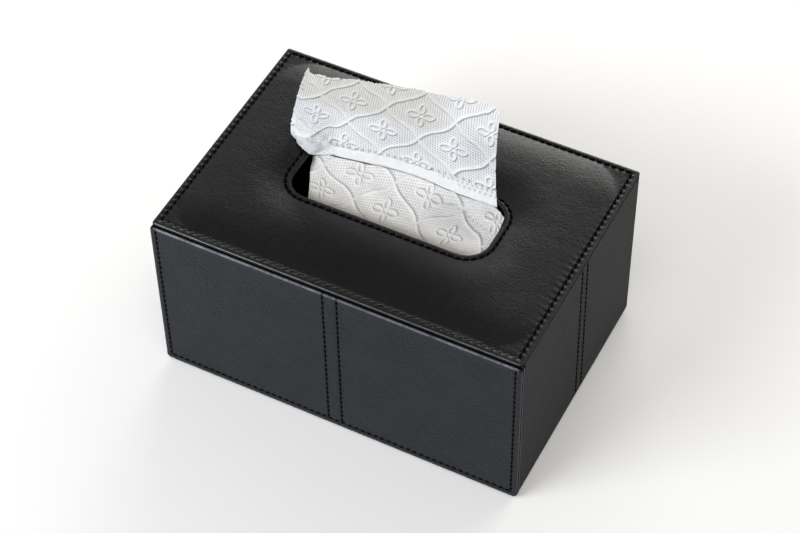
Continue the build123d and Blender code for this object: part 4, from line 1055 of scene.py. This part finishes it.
# under the slot it folds to and fro, down to the pack
rows, q0 = [], Q[:, 0].copy()
layers = [((-20.0, 88.0), (13.5, 87.6)), ((13.9, 87.2), (-20.2, 86.9)), ((-20.5, 86.5), (13.0, 86.2)), ((13.2, 85.8), (-19.5, 85.4))]
for (ya, za), (yb, zb) in layers:
    for k in np.linspace(0, 1, 12):
        rows.append(np.stack([q0[:, 0], np.full(NX2, ya + (yb - ya) * k), np.full(NX2, za + (zb - za) * k) + 0.06 * np.sin(np.linspace(0, 30, NX2) + 9 * k)], -1))
low = np.stack(rows, 1)
nxt = np.concatenate([low[:, ::-1], Q], 1)
wide = lambda a: np.concatenate([np.zeros(low.shape[:2]), a], 1)
down = np.concatenate([[0], np.cumsum(np.linalg.norm(np.diff(low.mean(0), axis=0), axis=1))])
uv_u = np.broadcast_to(np.linspace(8 / 133.0, 1, NX2)[:, None], nxt.shape[:2])
uv_v = np.broadcast_to(np.concatenate([-down[::-1], V2[0]])[None] / 195.0, nxt.shape[:2])
# painted warm shade towards the slot's front lip, where the lip shades the sheet
next_sheet = mesh_object("next_tissue", nxt, grid_faces(nxt.shape[0], nxt.shape[1]), "shell", TISSUE_WARM_LIGHT,
                         attrs={"plain": wide(plain2), "shade": wide(shade2), "ribs": wide(np.zeros_like(clear2)), "warm_shade": wide(smooth01((0 - Y2) / 20.0) * 0.75)}, uv=np.stack([uv_u, uv_v], -1))
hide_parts("tissue_next_sheet")

# the pack: interfolded sheets, their folds showing along its long sides, with painted shade in the gaps between layers
LAYERS, PER = 38, 6
x0, x1, ysz, z0, z1 = -58.0, 75.0, 48.5, 9.2, 84.0
loop = rr_loop((x1 - x0) / 2 - 0.5, ysz - 0.5, 1.6, (x0 + x1) / 2, 0, 60, 44, 5)
cxm = (x0 + x1) / 2
nx2 = np.column_stack([loop[:, 0] - cxm, loop[:, 1]])
fold_side = np.abs(loop[:, 1]) > np.abs(loop[:, 0] - cxm) * (ysz / ((x1 - x0) / 2)) - 0.001
nn = np.where(fold_side[:, None], np.column_stack([np.zeros(len(loop)), np.sign(loop[:, 1])]), np.column_stack([np.sign(loop[:, 0] - cxm), np.zeros(len(loop))]))
rng = np.random.default_rng(5)
rows, gap_shade = [], []
inset_top = [(12.0, z1 - 0.35), (30.0, z1 - 0.5)]
for r in inset_top[::-1]:
    gap_shade.append(0.0)
    rows.append(np.column_stack([loop - nn * 0 - np.column_stack([(loop[:, 0] - cxm) * r[0] / 66.0, loop[:, 1] * r[0] / 48.0]), np.full(len(loop), r[1])]))
pitch = (z1 - z0) / LAYERS
for k in range(LAYERS - 1, -1, -1):
    jit = 0.28 * rng.standard_normal()
    wob = 0.22 * vnoise(loop[:, 0] + loop[:, 1], np.full(len(loop), k * 3.1), 18.0, 70)
    for j in range(PER, -1, -1) if k == 0 else range(PER, 0, -1):
        ph = j / PER
        # painted shade at each layer's gap
        gap_shade.append((0.80 + 0.20 * float(vnoise(k * 1.0, 0.0, 1.3, 5))) if j in (0, PER) else 0.02)
        bulge = np.where(fold_side, -0.62 * (2 * ph - 1) ** 4, -0.42 * (2 * ph - 1) ** 4)
        zc = z0 + (k + ph) * pitch
        d_ = np.clip(bulge + 0.45 * jit + wob, -1.1, 0.45)
        rows.append(np.column_stack([loop + nn * d_[:, None], np.full(len(loop), zc) + (0.12 * vnoise(loop[:, 0], loop[:, 1], 15, 77) if 0 < k < LAYERS - 1 else 0)]))
st = np.stack(rows, 1)
sf = [grid_faces(st.shape[0], st.shape[1], True)]
vv = st.reshape(-1, 3)
m_top, m_bot = st[:, 0].mean(0), st[:, -1].mean(0)
vv = np.concatenate([vv, m_top[None], m_bot[None]])
lines = np.broadcast_to(np.array(gap_shade)[None], st.shape[:2]).ravel()
stack = mesh_object("tissue_pack", vv, np.concatenate(sf), "drawer", TISSUE, attrs={"plain": np.ones(len(vv)), "shade": np.concatenate([lines, [0.0, 0.0]])})
import bmesh
bm = bmesh.new()
bm.from_mesh(stack.data)
bm.verts.ensure_lookup_table()
nn_, nv_ = st.shape[0], st.shape[1]
for k in range(nn_):
    k1 = (k + 1) % nn_
    bm.faces.new((bm.verts[k * nv_], bm.verts[k1 * nv_], bm.verts[len(vv) - 2]))
    bm.faces.new((bm.verts[k * nv_ + nv_ - 1], bm.verts[len(vv) - 1], bm.verts[k1 * nv_ + nv_ - 1]))
bmesh.ops.recalc_face_normals(bm, faces=bm.faces)
for fc in bm.faces:
    fc.smooth = True
bm.to_mesh(stack.data)
bm.free()
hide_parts("tissue_stack")

# the pack's uppermost sheet: one panel on top, folded at the front, the other panel in between the next ones
NXT, NYT = 260, 300
tp = curve([(47.4, 84.32), (-47.7, 84.32), (-48.2, 84.24), (-48.45, 84.05), (-48.52, 83.86), (-48.45, 83.66), (-48.2, 83.48), (-47.7, 83.4), (46.5, 83.4)], NYT)
UT = np.broadcast_to(np.linspace(0, 133, NXT)[:, None], (NXT, NYT)).copy()
VT = np.broadcast_to(np.concatenate([[0], np.cumsum(np.linalg.norm(np.diff(tp, axis=0), axis=1))])[None], (NXT, NYT)).copy()
T = np.zeros((NXT, NYT, 3))
T[..., 0] = x0 + 0.3 + UT * (x1 - x0 - 0.6) / 133.0
T[..., 1], T[..., 2] = tp[None, :, 0], tp[None, :, 1]
on_top = smooth01((T[..., 2] - 83.95) / 0.3) * smooth01((T[..., 1] + 47.9) / 3.0)
end_x = smooth01(np.abs(UT - 66.5) / 66.5 * 6 - 5)
T[..., 0] += 0.35 * end_x * vnoise(VT, VT * 0, 9.0, 81)
ridge3, clear3 = motif(UT, VT + 4.0)
buckle = (0.20 * fbm(T[..., 0], T[..., 1], 26.0, 2, 82) + 0.16 * np.sin((T[..., 0] * 0.35 + T[..., 1]) / 5.2 + 1.2 * vnoise(T[..., 0], T[..., 1], 30, 84)) * gauss(T[..., 1] - 3, 16)
          + 0.30 * np.exp(-(47.4 - T[..., 1]) / 3.5) * (0.5 + 0.5 * vnoise(T[..., 0], T[..., 0] * 0, 16.0, 83)))
T[..., 2] += on_top * np.clip(buckle + 0.32 * ridge3, -0.22, 0.56)
shade3 = np.clip(0.9 * flank(ridge3, UT, VT) + 0.35 * np.clip(-buckle, 0, 1), 0, 1) * on_top
top_sheet = mesh_object("tissue_top_sheet", T, grid_faces(NXT, NYT), "drawer", TISSUE,
                        attrs={"plain": clear3, "ribs": np.zeros_like(clear3), "shade": shade3, "warm_shade": np.zeros_like(clear3)}, uv=np.stack([UT / 133.0, VT / 195.0], -1))

# ================================================================== studio
def area(name, loc, target, size, power, color=(1, 1, 1), size_y=None):
    L = bpy.data.lights.new(name, "AREA")
    L.shape = "RECTANGLE"
    L.size, L.size_y = size, size_y or size
    L.energy, L.color = power, color
    o = bpy.data.objects.new(name, L)
    scene.collection.objects.link(o)
    from mathutils import Vector
    o.location = loc
    o.rotation_euler = (Vector(target) - Vector(loc)).to_track_quat("-Z", "Y").to_euler()
    return o


area("key", (-0.74, -1.20, 1.06), (0.0, 0.0, 0.06), 0.95, 17.3, (0.91, 0.955, 1.0), 0.5)
area("top_front", (0.20, -0.62, 1.62), (0.0, 0.0, 0.06), 0.8, 6.0, (1.0, 0.97, 0.93), 0.6)
area("back_low", (0.06, 1.55, 0.56), (0.0, 0.0, 0.10), 2.2, 25.0, (1.0, 0.985, 0.96), 0.72)

world = bpy.data.worlds.new("studio")
scene.world = world
world.use_nodes = True
wn = world.node_tree
bg = wn.nodes["Background"]
tcw = wn.nodes.new("ShaderNodeTexCoord")
sep = wn.nodes.new("ShaderNodeSeparateXYZ")
wn.links.new(tcw.outputs["Generated"], sep.inputs[0])
cr = ramp(wn, sep.outputs["Z"], [(0.0, (0.90, 0.91, 0.93)), (0.30, (0.66, 0.66, 0.66)), (0.58, (0.47, 0.47, 0.47)), (0.73, (0.34, 0.34, 0.34)), (0.86, (0.09, 0.09, 0.09)), (1.0, (0.04, 0.04, 0.04))])
wn.links.new(cr.outputs[0], bg.inputs[0])
bg.inputs[1].default_value = 0.78

# plain pale floor
fm, fnt, fb = new_mat("pale_floor")
fb.inputs["Base Color"].default_value = (0.97, 0.96, 0.945, 1)
fb.inputs["Roughness"].default_value = 0.75
fb.inputs["Specular IOR Level"].default_value = 0.2
fb.inputs["Emission Strength"].default_value = 0.10
fb.inputs["Emission Color"].default_value = (1.0, 1.0, 1.0, 1)
me = bpy.data.meshes.new("floor")
me.from_pydata([(-6, -6, 0), (6, -6, 0), (6, 6, 0), (-6, 6, 0)], [], [(0, 1, 2, 3)])
floor = bpy.data.objects.new("floor", me)
scene.collection.objects.link(floor)
me.materials.append(fm)

# ================================================================== camera, at the photograph's angle
cam = bpy.data.cameras.new("camera")
cam.lens, cam.sensor_width, cam.sensor_fit = 102.819, 36.0, "HORIZONTAL"
cam.clip_start, cam.clip_end = 0.05, 20
cam_o = bpy.data.objects.new("camera", cam)
scene.collection.objects.link(cam_o)
right = (0.8894467, 0.45688843, -0.01172719)
upv = (-0.33798092, 0.67480306, 0.65605619)
fwd = (-0.30765802, 0.57956345, -0.75462093)
cam_o.matrix_world = Matrix(((right[0], upv[0], -fwd[0], 0.4126228), (right[1], upv[1], -fwd[1], -0.7755760),
                             (right[2], upv[2], -fwd[2], 1.0713387), (0, 0, 0, 1)))
scene.camera = cam_o
scene.view_settings.view_transform = "Standard"
